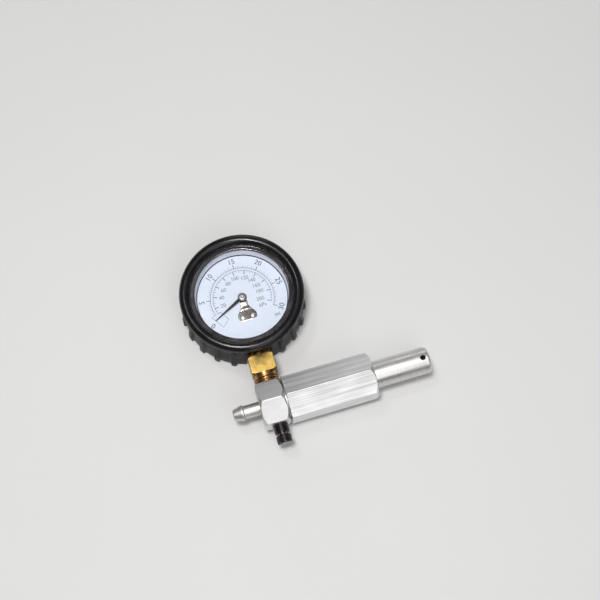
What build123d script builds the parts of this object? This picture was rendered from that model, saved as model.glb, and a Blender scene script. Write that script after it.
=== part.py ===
from build123d import *
import math
import os

# Carburettor pressure gauge with a hand pump, lying on its back. Millimetres, +Z up.
# Every piece is drawn in the pump frame: X along the pump towards the plunger, Y along the
# stem towards the dial, Z out of the dial, zero where the pump axis meets the stem axis.
# The finished pieces are then moved so that the origin is under the middle of the part.

# Fits
THREAD_GAP = 0.02
RUNNING_GAP = 0.05
SIDE_GAP = 0.3
OVERCUT = 1.0

# Spring wire is drawn with flats, which keeps the coils light
WIRE_SIDES = 8

# Hexagon valve block
HEX_FLATS = 22.2
BLOCK_LEFT = 7.5
BLOCK_RIGHT = 6.0
BLOCK_CHAMFER_LEFT = 1.6
BLOCK_CHAMFER_RIGHT = 1.9
NECK_LENGTH = 0.7
NECK_RADIUS = 8.8
SPIGOT_LENGTH = 7.8
SPIGOT_RADIUS = 8.2
GALLERY_RADIUS = 1.5

# Pump
STROKE = 20.0
PRESSED_SPRING_LENGTH = 7.78
GUIDE_LENGTH = 5.1
BARREL_CHAMFER_INNER = 0.4
BARREL_CHAMFER_OUTER = 1.7
BORE_RADIUS = 7.8
PLUNGER_RADIUS = 7.0
PLUNGER_GRIP_LENGTH = 10.2
PLUNGER_WALL = 1.8
PLUNGER_END_WALL = 2.4
PLUNGER_CHAMFER = 0.9
INTAKE_HOLE_RADIUS = 1.32
INTAKE_HOLE_FROM_END = 3.6
BUMPER_THICKNESS = 0.6
PISTON_HEAD_LENGTH = 5.0
PISTON_STUB_LENGTH = 5.0
PISTON_SEAL_WIDTH = 1.8
PISTON_SEAL_DEPTH = 1.2
INLET_HOLE_RADIUS = 1.1
INLET_BALL_RADIUS = 1.6
INLET_BALL_PLAY = 1.0
RETAINER_THICKNESS = 0.6
RETURN_SPRING_RADIUS = 5.4
RETURN_SPRING_WIRE = 0.45
RETURN_SPRING_TURNS = 7

# Delivery check valve inside the spigot
CHECK_CHAMBER_START = 2.5
CHECK_CHAMBER_RADIUS = 2.4
CHECK_SEAT_RADIUS = 3.2
CHECK_SEAT_LENGTH = 4.5
CHECK_HOLE_RADIUS = 0.95
CHECK_CONE_DEPTH = 1.0
CHECK_BALL_RADIUS = 1.9
CHECK_SPRING_RADIUS = 1.14
CHECK_SPRING_WIRE = 0.2
CHECK_SPRING_TURNS = 4

# Hose barb
BARB_SHAFT_RADIUS = 3.45
BARB_SHAFT_LENGTH = 8.3
BARB_HEAD_RADIUS = 4.12
BARB_HEAD_LAND = 0.6
BARB_BACK_SLOPE = 0.5
BARB_TIP_RADIUS = 2.85
BARB_TIP_EDGE = 0.3
BARB_TAPER_LENGTH = 4.6
BARB_BORE_RADIUS = 1.5
BARB_STUB_RADIUS = 3.0
BARB_STUB_LENGTH = 5.5

# Push-button bleed valve
VALVE_RADIUS = 3.95
VALVE_LENGTH = 4.9
VALVE_RIM = 0.35
VALVE_STUB_RADIUS = 3.0
VALVE_STUB_LENGTH = 5.0
VALVE_BORE_RADIUS = 1.3
VALVE_SPRING_POCKET = 1.4
BUTTON_TRAVEL = 1.0
BUTTON_CLEARANCE = 0.1
BUTTON_LENGTH = 4.2
BUTTON_RIM = 0.6
BUTTON_POCKET_DEPTH = 1.6
BUTTON_FLATS = 12
BUTTON_FLAT_WIDTH = 0.9
BUTTON_FLAT_DEPTH = 0.18
BUTTON_STEM_RADIUS = 0.8
BUTTON_STEM_GRIP = 1.0
POPPET_RADIUS = 2.1
POPPET_THICKNESS = 1.0
POPPET_SEAL_THICKNESS = 0.5
BUTTON_SPRING_RADIUS = 2.0
BUTTON_SPRING_WIRE = 0.22
BUTTON_SPRING_TURNS = 4

# Brass gauge socket
SOCKET_THREAD_RADIUS = 6.58
SOCKET_THREAD_DEPTH = 7.6
SOCKET_THREAD_EDGE = 0.6
SOCKET_RELIEF_LENGTH = 1.2
SQUARE_START = 16.5
SQUARE_LENGTH = 9.4
SQUARE_FLATS = 13.1
SQUARE_CORNER = 1.5
SOCKET_NECK_RADIUS = 5.2
TONGUE_HALF_WIDTH = 5.5
TONGUE_TOP = 1.3
TONGUE_BOTTOM = -5.4
SOCKET_BLOCK_HALF_WIDTH = 6.5
SOCKET_LEDGE_LENGTH = 3.6
LEDGE_TO_PILLARS = 2.4
TUBE_PORT_RADIUS = 1.2

# Gauge head: heights are above the pump axis
GAUGE_CENTRE = 59.1
CASE_RADIUS = 27.0
CASE_STEP = 0.8
CASE_WALL = 0.8
CASE_SHOULDER = 2.44
CASE_RIM = 7.3
DIAL_THICKNESS = 0.4
SPACER_WALL = 1.2
GASKET_THICKNESS = 0.3
LENS_THICKNESS = 1.6
LENS_MARGIN = 0.1
BEZEL_WALL = 0.7
BEZEL_LIP = 2.54
BEZEL_DEPTH = 4.2
BEZEL_EDGE = 0.3
CASE_SCREW_SPACING = 7.0
CASE_SCREW_DEPTH = 2.2
CASE_SCREW_RADIUS = 1.2
CASE_SCREW_HEAD_RADIUS = 2.2
CASE_SCREW_HEAD_HEIGHT = 1.1
CASE_SCREW_HEAD_EDGE = 0.3
CASE_SCREW_SLOT = 0.6

# Rubber boot
BOOT_WALL = 2.86
BOOT_WALL_FLARE = 1.3
BOOT_BACK_WALL = 1.5
BOOT_BACK_LIP = 4.2
BOOT_LIP_OVERHANG = 1.97
BOOT_LIP_ROUND = 2.93
BOOT_LIP_RISE = 0.36
BOOT_LIP_UNDERCUT = 2.2
BOOT_RIB_COUNT = 22
BOOT_RIB_DEPTH = 1.4
BOOT_RIB_TOP_DEPTH = 0.9
BOOT_RIB_STRAIGHT = 5.0
BOOT_RIB_FADE = 2.4
BOOT_RIB_EDGE = 0.8
BOOT_RIB_BASE_WIDTH = 4.4
BOOT_RIB_CROWN_WIDTH = 2.4
BOOT_RIB_ROUND = 0.7
BOOT_SLOT_MARGIN = 0.65
BOOT_SLOT_HEADROOM = 1.2
BOOT_SLOT_REACH = 2.2

# Movement, in the dial's own plane with the dial centre at zero
GEAR_MODULE = 0.25
PINION_TEETH = 10
SECTOR_TEETH = 80
SECTOR_PIVOT_ANGLE = -50.0
SECTOR_THICKNESS = 0.8
SECTOR_TOP = -0.6
SECTOR_HUB_RADIUS = 2.0
SECTOR_RIM_WIDTH = 2.2
SECTOR_HUB_MARGIN = 1.54
SECTOR_HUB_SPREAD = 60.0
SECTOR_SPARE_TEETH = 2
PINION_LENGTH = 1.4
TOOTH_ADDENDUM = 0.9
TOOTH_DEDENDUM = 1.2
TOOTH_ROOT_SHARE = 0.30
TOOTH_TIP_SHARE = 0.11
ARBOR_RADIUS = 0.6
PLATE_THICKNESS = 1.0
PLATE_CORNER = 1.2
PLATE_EDGE = 2.4
REAR_PLATE_TOP = -4.2
FRONT_PLATE_TOP = 1.7
FRONT_PLATE_MARGIN = 0.6
PILLAR_RADIUS = 1.5
PILLAR_HALF_SPACING = 2.65
PILLAR_DROP = 10.5
PILLAR_SCREW_RADIUS = 0.75
PILLAR_SCREW_HEAD = 1.35
PILLAR_SCREW_HEIGHT = 0.8
PILLAR_SCREW_SLOT = 0.4
PILLAR_SCREW_TURN = 40.0
BASE_SCREW_SPACING = 9.2
BASE_SCREW_RADIUS = 0.6
BASE_SCREW_DEPTH = 2.0
BASE_SCREW_HEAD_HEIGHT = 0.7
TAIL_LENGTH = 3.5
TAIL_ANGLE = -38.4
TAIL_WIDTH = 1.8
LINK_THICKNESS = 0.5
LINK_WIDTH = 1.2
LINK_EYE_RADIUS = 1.1
LINK_PIN_RADIUS = 0.4
LINK_OPEN_PIVOT_GAP = 0.2
TUBE_RADIUS = 19.5
TUBE_HALF_THICKNESS = 1.0
TUBE_HEIGHT = 7.0
TUBE_WALL = 0.3
TUBE_MID_HEIGHT = -5.0
TUBE_ROOT_ANGLE = -93.0
TUBE_SEAT_ANGLE = 20.0
TUBE_TIP_ANGLE = -25.0
TIP_BLOCK_ANGLE = 9.0
TIP_BLOCK_GROWTH = 0.4
TIP_EAR_WIDTH = 2.2
TIP_EAR_THICKNESS = 1.0
TIP_PIN_INSET = 2.9
TIP_PIN_ANGLE = -30.0
HAIRSPRING_TURNS = 3
HAIRSPRING_INNER = 0.9
HAIRSPRING_OUTER = 2.7
HAIRSPRING_HEIGHT = -3.4
HAIRSPRING_WIDTH = 0.5
HAIRSPRING_STRIP = 0.12
HAIRSPRING_POINTS_PER_TURN = 12
STUD_RADIUS = 0.35

# Pointer and dial window
POINTER_REST_ANGLE = 207.5
POINTER_SWEEP = 242.0
POINTER_HUB_RADIUS = 2.3
POINTER_HUB_BOTTOM = 3.5
POINTER_HUB_HEIGHT = 1.2
POINTER_HUB_EDGE = 0.35
POINTER_PIN_RADIUS = 0.65
POINTER_PIN_HEIGHT = 0.5
POINTER_LENGTH = 18.9
POINTER_TAIL = 3.0
POINTER_WIDTH = 1.9
POINTER_TIP_WIDTH = 0.3
POINTER_BLADE = 0.35
WINDOW_TOP_RADIUS = 1.7
WINDOW_WAIST_DROP = 4.0
WINDOW_WAIST_HALF_WIDTH = 2.0
WINDOW_SIDE_MARGIN = 2.45
WINDOW_BASE_MARGIN = 0.75
WINDOW_BELOW_SCREWS = 2.4
WINDOW_WIDEST_ABOVE_SCREWS = 0.1

# Worked out from the sizes above
HEX_RADIUS = HEX_FLATS / math.sqrt(3)
HEX_HALF = HEX_FLATS / 2
BARREL_START = BLOCK_RIGHT + NECK_LENGTH
SPIGOT_END = BARREL_START + SPIGOT_LENGTH
PISTON_START = SPIGOT_END + PRESSED_SPRING_LENGTH + STROKE
PISTON_END = PISTON_START + PISTON_HEAD_LENGTH
GUIDE_START = PISTON_END + BUMPER_THICKNESS + THREAD_GAP
BARREL_END = GUIDE_START + GUIDE_LENGTH
PLUNGER_END = BARREL_END + STROKE + PLUNGER_GRIP_LENGTH
PORT_FLOOR = HEX_HALF - SOCKET_THREAD_DEPTH
BARB_SHAFT_END = -(BLOCK_LEFT + BARB_SHAFT_LENGTH)
BARB_END = BARB_SHAFT_END - BARB_BACK_SLOPE - BARB_HEAD_LAND - BARB_TAPER_LENGTH
VALVE_END = -(HEX_HALF + VALVE_LENGTH)
VALVE_SEAT_FACE = -HEX_HALF + VALVE_STUB_LENGTH
VALVE_CHAMBER_END = VALVE_SEAT_FACE + POPPET_SEAL_THICKNESS + POPPET_THICKNESS + BUTTON_TRAVEL + SIDE_GAP
BUTTON_TOP = VALVE_END - BUTTON_TRAVEL - BUTTON_CLEARANCE
BUTTON_END = BUTTON_TOP - BUTTON_LENGTH
SQUARE_END = SQUARE_START + SQUARE_LENGTH
FLOOR = -HEX_RADIUS
CASE_INNER = CASE_RADIUS - CASE_WALL
CASE_LOWER_INNER = CASE_INNER - CASE_STEP
CASE_LOWER_OUTER = CASE_RADIUS - CASE_STEP
CASE_BACK = FLOOR + BOOT_BACK_WALL + THREAD_GAP
CASE_INNER_BACK = CASE_BACK + CASE_WALL
DIAL_TOP = CASE_SHOULDER + DIAL_THICKNESS
LENS_RADIUS = CASE_RADIUS - LENS_MARGIN
LENS_BOTTOM = CASE_RIM + GASKET_THICKNESS
LENS_TOP = LENS_BOTTOM + LENS_THICKNESS
BEZEL_TOP = LENS_TOP + BEZEL_WALL
BEZEL_INNER = CASE_RADIUS + THREAD_GAP
BEZEL_RADIUS = BEZEL_INNER + BEZEL_WALL
BEZEL_OPENING = BEZEL_INNER - BEZEL_LIP
BOOT_INNER = BEZEL_RADIUS + THREAD_GAP
BOOT_WALL_RADIUS = BOOT_INNER + BOOT_WALL
BOOT_BACK_RADIUS = BOOT_WALL_RADIUS + BOOT_WALL_FLARE
BOOT_RIB_RADIUS = BOOT_BACK_RADIUS + BOOT_RIB_DEPTH
BOOT_LIP_RADIUS = BOOT_WALL_RADIUS + BOOT_LIP_OVERHANG
BOOT_LIP_HEIGHT = BEZEL_TOP + BOOT_LIP_RISE
BOOT_LIP_UNDER = BOOT_LIP_HEIGHT - BOOT_LIP_ROUND - BOOT_LIP_UNDERCUT
BOOT_BACK_OPENING = CASE_LOWER_OUTER - BOOT_BACK_LIP
BOOT_SLOT_HALF_WIDTH = SQUARE_FLATS / 2 + BOOT_SLOT_MARGIN
BOOT_SLOT_TOP = SOCKET_NECK_RADIUS + BOOT_SLOT_HEADROOM
WINDOW_HALF_WIDTH = PILLAR_HALF_SPACING + WINDOW_SIDE_MARGIN
WINDOW_BASE_HALF_WIDTH = PILLAR_HALF_SPACING + WINDOW_BASE_MARGIN
WINDOW_WIDEST_DROP = PILLAR_DROP - WINDOW_WIDEST_ABOVE_SCREWS
WINDOW_BOTTOM = PILLAR_DROP + WINDOW_BELOW_SCREWS
LEDGE_START = -(PILLAR_DROP + LEDGE_TO_PILLARS + SOCKET_LEDGE_LENGTH)
LEDGE_MIDDLE = LEDGE_START + SOCKET_LEDGE_LENGTH / 2
REAR_PLATE_BOTTOM = REAR_PLATE_TOP - PLATE_THICKNESS
FRONT_PLATE_BOTTOM = FRONT_PLATE_TOP - PLATE_THICKNESS
SECTOR_BOTTOM = SECTOR_TOP - SECTOR_THICKNESS
LINK_TOP = SECTOR_BOTTOM - RUNNING_GAP
LINK_BOTTOM = LINK_TOP - LINK_THICKNESS
ARBOR_BOTTOM = REAR_PLATE_BOTTOM + SIDE_GAP
PINION_PITCH = GEAR_MODULE * PINION_TEETH / 2
SECTOR_PITCH = GEAR_MODULE * SECTOR_TEETH / 2
SECTOR_SWEEP = POINTER_SWEEP * PINION_TEETH / SECTOR_TEETH
POINTER_HUB_TOP = POINTER_HUB_BOTTOM + POINTER_HUB_HEIGHT
ORIGIN_X = (BOOT_RIB_RADIUS - PLUNGER_END) / 2
ORIGIN_Y = -(GAUGE_CENTRE + BOOT_RIB_RADIUS + BUTTON_END) / 2


def polar(radius, degrees):
    """A point in a plane, given by its distance from zero and its direction."""
    return (radius * math.cos(math.radians(degrees)), radius * math.sin(math.radians(degrees)))


def shifted(point, offset):
    """A point moved by another one."""
    return (point[0] + offset[0], point[1] + offset[1])


SECTOR_PIVOT = polar(PINION_PITCH + SECTOR_PITCH, SECTOR_PIVOT_ANGLE)
TAIL_OFFSET = polar(TAIL_LENGTH, TAIL_ANGLE)
TAIL_PIN = shifted(SECTOR_PIVOT, TAIL_OFFSET)
TIP_PIN = polar(TUBE_RADIUS - TIP_PIN_INSET, TIP_PIN_ANGLE)
BASE_SCREWS = [(side * BASE_SCREW_SPACING / 2, LEDGE_MIDDLE) for side in (-1, 1)]
CASE_SCREWS = [(side * CASE_SCREW_SPACING / 2, LEDGE_MIDDLE) for side in (-1, 1)]
PILLARS = [(side * PILLAR_HALF_SPACING, -PILLAR_DROP) for side in (-1, 1)]


def turned_x(*profile):
    """Turns a closed outline of (x, radius) points about the pump axis."""
    return revolve(make_face(Polyline(*profile, close=True)), Axis.X, 360)


def turned_y(*profile):
    """Turns a closed outline of (radius, y) points about the stem axis."""
    return revolve(make_face(Polyline(*profile, close=True)), Axis.Y, 360)


def turned_z(*profile):
    """Turns a closed outline of (radius, z) points about +Z."""
    points = [(radius, 0, height) for radius, height in profile]
    return revolve(make_face(Polyline(*points, close=True)), Axis.Z, 360)


def rod_x(radius, start, end):
    """A plain rod on the pump axis."""
    return turned_x((start, 0), (end, 0), (end, radius), (start, radius))


def rod_y(radius, start, end):
    """A plain rod on the stem axis."""
    return turned_y((0, start), (0, end), (radius, end), (radius, start))


def disc(radius, bottom, top, centre=(0, 0)):
    """A plain upright disc or rod."""
    solid = Cylinder(radius, top - bottom, align=(Align.CENTER, Align.CENTER, Align.MIN))
    return Pos(centre[0], centre[1], bottom) * solid


def ring(inner, outer, bottom, top, centre=(0, 0)):
    """An upright washer or sleeve."""
    return disc(outer, bottom, top, centre) - disc(inner, bottom - OVERCUT, top + OVERCUT, centre)


def through_hole(radius, bottom, top, centre=(0, 0)):
    """The solid that drills right through from one height to another."""
    return disc(radius, bottom - OVERCUT, top + OVERCUT, centre)


def slab(outline, bottom, top, corner=0.0):
    """A flat plate of constant thickness, with its outline's corners rounded."""
    face = make_face(Polyline(*outline, close=True))
    if corner > 0:
        face = fillet(face.vertices(), corner)
    return Pos(0, 0, bottom) * extrude(face, top - bottom)


def block_between(low, high):
    """A square-edged block given by its lowest and highest corners."""
    size = [b - a for a, b in zip(low, high)]
    return Pos(*low) * Box(*size, align=(Align.MIN, Align.MIN, Align.MIN))


def bar_to(end, width, bottom, top):
    """A straight flat bar from zero to a point."""
    length = math.hypot(*end)
    turn = math.degrees(math.atan2(end[1], end[0]))
    bar = block_between((0, -width / 2, bottom), (length, width / 2, top))
    return Rot(0, 0, turn) * bar


def screw_head(radius, bottom, top, slot_width, slot_depth, turn, centre, edge):
    """A flat round head whose outer end, at the height called top, has an edge and a slot."""
    head = disc(radius, min(bottom, top), max(bottom, top))
    outer_face = head.faces().sort_by(Axis.Z)[-1 if top > bottom else 0]
    head = chamfer(outer_face.edges(), edge)
    slot = Pos(0, 0, top) * Rot(0, 0, turn) * Box(2 * radius + OVERCUT, slot_width, 2 * slot_depth)
    return Pos(centre[0], centre[1], 0) * (head - slot)


def coil(radius, wire, turns, length):
    """A compression spring along +Z, from zero to its length."""
    height = length - 2 * wire
    path = Helix(pitch=height / turns, height=height, radius=radius)
    section = Plane(origin=path @ 0, z_dir=path % 0) * RegularPolygon(wire, WIRE_SIDES)
    return Pos(0, 0, wire) * sweep(section, path=path, is_frenet=True)


def hexagon_bar(start, end, depth_start, depth_end):
    """Hexagon bar on the pump axis, a corner at the top, with both ends' corners turned off."""
    face = Plane.YZ * RegularPolygon(HEX_RADIUS, 6, rotation=90)
    bar = Pos(start, 0, 0) * extrude(face, end - start)
    envelope = turned_x(
        (start, 0),
        (start, HEX_RADIUS - depth_start),
        (start + depth_start + OVERCUT, HEX_RADIUS + OVERCUT),
        (end - depth_end - OVERCUT, HEX_RADIUS + OVERCUT),
        (end, HEX_RADIUS - depth_end),
        (end, 0),
    )
    return bar & envelope


def valve_block():
    """The hexagon block with its neck and spigot, and the drillings that meet inside it."""
    block = hexagon_bar(-BLOCK_LEFT, BLOCK_RIGHT, BLOCK_CHAMFER_LEFT, BLOCK_CHAMFER_RIGHT)
    block = block + rod_x(NECK_RADIUS, BLOCK_RIGHT, BARREL_START)
    block = block + rod_x(SPIGOT_RADIUS, BARREL_START, SPIGOT_END)
    block = block - rod_y(SOCKET_THREAD_RADIUS + THREAD_GAP, PORT_FLOOR, HEX_RADIUS)
    block = block - rod_y(VALVE_STUB_RADIUS + THREAD_GAP, -HEX_RADIUS, VALVE_CHAMBER_END)
    block = block - rod_y(GALLERY_RADIUS, VALVE_CHAMBER_END - OVERCUT, PORT_FLOOR + OVERCUT)
    barb_port_end = -BLOCK_LEFT + BARB_STUB_LENGTH
    block = block - rod_x(BARB_STUB_RADIUS + THREAD_GAP, -BLOCK_LEFT - OVERCUT, barb_port_end)
    block = block - rod_x(GALLERY_RADIUS, barb_port_end - OVERCUT, CHECK_CHAMBER_START + OVERCUT)
    seat_start = SPIGOT_END - CHECK_SEAT_LENGTH
    block = block - rod_x(CHECK_CHAMBER_RADIUS, CHECK_CHAMBER_START, seat_start)
    return block - rod_x(CHECK_SEAT_RADIUS + THREAD_GAP, seat_start, SPIGOT_END + OVERCUT)


def check_valve_pieces():
    """The delivery check valve: a coned seat, a ball resting in the cone and its spring."""
    seat_start = SPIGOT_END - CHECK_SEAT_LENGTH
    cone_radius = CHECK_HOLE_RADIUS + CHECK_CONE_DEPTH
    seat = turned_x(
        (seat_start, cone_radius),
        (seat_start + CHECK_CONE_DEPTH, CHECK_HOLE_RADIUS),
        (SPIGOT_END, CHECK_HOLE_RADIUS),
        (SPIGOT_END, CHECK_SEAT_RADIUS),
        (seat_start, CHECK_SEAT_RADIUS),
    )
    # A ball touches a 45 degree cone where its centre is the square root of 2 radii from the apex.
    ball_x = seat_start + cone_radius - math.sqrt(2) * CHECK_BALL_RADIUS - THREAD_GAP
    ball = Pos(ball_x, 0, 0) * Sphere(CHECK_BALL_RADIUS)
    spring_end = ball_x - math.sqrt(CHECK_BALL_RADIUS**2 - CHECK_SPRING_RADIUS**2)
    spring_length = spring_end - CHECK_CHAMBER_START
    spring = coil(CHECK_SPRING_RADIUS, CHECK_SPRING_WIRE, CHECK_SPRING_TURNS, spring_length)
    spring = Pos(CHECK_CHAMBER_START, 0, 0) * Rot(0, 90, 0) * spring - ball
    return {"check_seat": seat, "check_ball": ball, "check_spring": spring}


def hose_barb():
    """The hose barb: stub in the block, shaft, and a tapered head with a sharp back edge."""
    stub_end = -BLOCK_LEFT + BARB_STUB_LENGTH
    head_start = BARB_SHAFT_END - BARB_BACK_SLOPE
    return turned_x(
        (stub_end, BARB_BORE_RADIUS),
        (stub_end, BARB_STUB_RADIUS),
        (-BLOCK_LEFT, BARB_STUB_RADIUS),
        (-BLOCK_LEFT, BARB_SHAFT_RADIUS),
        (BARB_SHAFT_END, BARB_SHAFT_RADIUS),
        (head_start, BARB_HEAD_RADIUS),
        (head_start - BARB_HEAD_LAND, BARB_HEAD_RADIUS),
        (BARB_END + BARB_TIP_EDGE, BARB_TIP_RADIUS),
        (BARB_END, BARB_TIP_RADIUS - BARB_TIP_EDGE),
        (BARB_END, BARB_BORE_RADIUS),
    )


def bleed_valve_pieces():
    """The push-button bleed valve on the block's lower flat."""
    pocket = BUTTON_SPRING_RADIUS + BUTTON_SPRING_WIRE + SIDE_GAP
    housing = rod_y(VALVE_STUB_RADIUS, -HEX_HALF, VALVE_SEAT_FACE)
    housing = housing + turned_y(
        (0, -HEX_HALF),
        (VALVE_RADIUS, -HEX_HALF),
        (VALVE_RADIUS, VALVE_END + VALVE_RIM),
        (VALVE_RADIUS - VALVE_RIM, VALVE_END),
        (0, VALVE_END),
    )
    housing = housing - rod_y(VALVE_BORE_RADIUS, VALVE_END - OVERCUT, VALVE_SEAT_FACE + OVERCUT)
    housing = housing - rod_y(pocket, VALVE_END - OVERCUT, VALVE_END + VALVE_SPRING_POCKET)

    poppet_start = VALVE_SEAT_FACE + POPPET_SEAL_THICKNESS
    seal = rod_y(POPPET_RADIUS, VALVE_SEAT_FACE + THREAD_GAP, poppet_start)
    seal = seal - rod_y(BUTTON_STEM_RADIUS, VALVE_SEAT_FACE - OVERCUT, poppet_start + OVERCUT)
    pocket_floor = BUTTON_TOP - BUTTON_POCKET_DEPTH
    stem = rod_y(BUTTON_STEM_RADIUS, pocket_floor - BUTTON_STEM_GRIP, poppet_start)
    stem = stem + rod_y(POPPET_RADIUS, poppet_start, poppet_start + POPPET_THICKNESS)

    cap = turned_y(
        (0, BUTTON_TOP),
        (VALVE_RADIUS - BUTTON_RIM / 2, BUTTON_TOP),
        (VALVE_RADIUS, BUTTON_TOP - BUTTON_RIM / 2),
        (VALVE_RADIUS, BUTTON_END + BUTTON_RIM),
        (VALVE_RADIUS - BUTTON_RIM, BUTTON_END),
        (0, BUTTON_END),
    )
    groove = block_between(
        (VALVE_RADIUS - BUTTON_FLAT_DEPTH, BUTTON_END + BUTTON_RIM, -BUTTON_FLAT_WIDTH / 2),
        (VALVE_RADIUS + OVERCUT, BUTTON_TOP - BUTTON_RIM, BUTTON_FLAT_WIDTH / 2),
    )
    for index in range(BUTTON_FLATS):
        cap = cap - Rot(0, 360 * index / BUTTON_FLATS, 0) * groove
    cap = cap - rod_y(pocket, pocket_floor, BUTTON_TOP + OVERCUT)
    cap = cap - rod_y(BUTTON_STEM_RADIUS + THREAD_GAP, pocket_floor - BUTTON_STEM_GRIP, BUTTON_TOP)

    spring_length = VALVE_END + VALVE_SPRING_POCKET - pocket_floor
    spring = coil(BUTTON_SPRING_RADIUS, BUTTON_SPRING_WIRE, BUTTON_SPRING_TURNS, spring_length)
    return {
        "valve_housing": housing,
        "button_cap": cap,
        "button_stem": stem,
        "poppet_seal": seal,
        "button_spring": Pos(0, pocket_floor, 0) * Rot(-90, 0, 0) * spring,
    }


def pump_barrel():
    """The hexagon barrel: spigot socket, bore and the narrower guide at its open end."""
    barrel = hexagon_bar(BARREL_START, BARREL_END, BARREL_CHAMFER_INNER, BARREL_CHAMFER_OUTER)
    barrel = barrel - rod_x(SPIGOT_RADIUS + THREAD_GAP, BARREL_START - OVERCUT, SPIGOT_END)
    barrel = barrel - rod_x(BORE_RADIUS, SPIGOT_END - OVERCUT, GUIDE_START)
    return barrel - rod_x(PLUNGER_RADIUS + RUNNING_GAP, GUIDE_START - OVERCUT, BARREL_END + OVERCUT)


def plunger_pieces():
    """The plunger tube, the piston with its inlet valve, and the spring that pushes it out."""
    tube_inner = PLUNGER_RADIUS - PLUNGER_WALL
    tube = turned_x(
        (PISTON_END, tube_inner),
        (PISTON_END, PLUNGER_RADIUS),
        (PLUNGER_END - PLUNGER_CHAMFER, PLUNGER_RADIUS),
        (PLUNGER_END, PLUNGER_RADIUS - PLUNGER_CHAMFER),
        (PLUNGER_END, 0),
        (PLUNGER_END - PLUNGER_END_WALL, 0),
        (PLUNGER_END - PLUNGER_END_WALL, tube_inner),
    )
    drill = Cylinder(INTAKE_HOLE_RADIUS, 2 * (PLUNGER_RADIUS + OVERCUT))
    tube = tube - Pos(PLUNGER_END - INTAKE_HOLE_FROM_END, 0, 0) * drill

    head_radius = BORE_RADIUS - RUNNING_GAP
    head_middle = (PISTON_START + PISTON_END) / 2
    groove_floor = head_radius - PISTON_SEAL_DEPTH
    stub_end = PISTON_END + PISTON_STUB_LENGTH
    cage_end = PISTON_START + 2 * INLET_BALL_RADIUS + INLET_BALL_PLAY
    head = turned_x(
        (PISTON_START, INLET_BALL_RADIUS + RUNNING_GAP),
        (PISTON_START, head_radius),
        (head_middle - PISTON_SEAL_WIDTH / 2, head_radius),
        (head_middle - PISTON_SEAL_WIDTH / 2, groove_floor),
        (head_middle + PISTON_SEAL_WIDTH / 2, groove_floor),
        (head_middle + PISTON_SEAL_WIDTH / 2, head_radius),
        (PISTON_END, head_radius),
        (PISTON_END, tube_inner - THREAD_GAP),
        (stub_end, tube_inner - THREAD_GAP),
        (stub_end, INLET_HOLE_RADIUS),
        (cage_end, INLET_HOLE_RADIUS),
        (cage_end, INLET_BALL_RADIUS + RUNNING_GAP),
    )
    ball_x = cage_end - math.sqrt(INLET_BALL_RADIUS**2 - INLET_HOLE_RADIUS**2) - THREAD_GAP
    retainer_radius = RETURN_SPRING_RADIUS - RETURN_SPRING_WIRE - SIDE_GAP
    retainer = turned_x(
        (PISTON_START - RETAINER_THICKNESS, INLET_HOLE_RADIUS),
        (PISTON_START, INLET_HOLE_RADIUS),
        (PISTON_START, retainer_radius),
        (PISTON_START - RETAINER_THICKNESS, retainer_radius),
    )
    seal = Torus(groove_floor + PISTON_SEAL_DEPTH / 2, PISTON_SEAL_DEPTH / 2 - THREAD_GAP)
    bumper = turned_x(
        (PISTON_END, PLUNGER_RADIUS + THREAD_GAP),
        (PISTON_END + BUMPER_THICKNESS, PLUNGER_RADIUS + THREAD_GAP),
        (PISTON_END + BUMPER_THICKNESS, head_radius),
        (PISTON_END, head_radius),
    )
    spring_length = PISTON_START - SPIGOT_END
    spring = coil(RETURN_SPRING_RADIUS, RETURN_SPRING_WIRE, RETURN_SPRING_TURNS, spring_length)
    return {
        "plunger_tube": tube,
        "piston_head": head,
        "piston_seal": Pos(head_middle, 0, 0) * Rot(0, 90, 0) * seal,
        "piston_bumper": bumper,
        "inlet_ball": Pos(ball_x, 0, 0) * Sphere(INLET_BALL_RADIUS),
        "inlet_ball_retainer": retainer,
        "return_spring": Pos(SPIGOT_END, 0, 0) * Rot(0, 90, 0) * spring,
    }


def tube_bend(grow, start, end):
    """The flattened tube's outline, grown all round, carried round the dial from angle to angle."""
    half = TUBE_HALF_THICKNESS + grow
    between_rounds = TUBE_HEIGHT - 2 * TUBE_HALF_THICKNESS
    outline = SlotCenterToCenter(between_rounds, 2 * half, rotation=90)
    section = Plane.XZ * Pos(TUBE_RADIUS, TUBE_MID_HEIGHT) * outline
    return Rot(0, 0, start) * revolve(section, Axis.Z, end - start)


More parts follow.
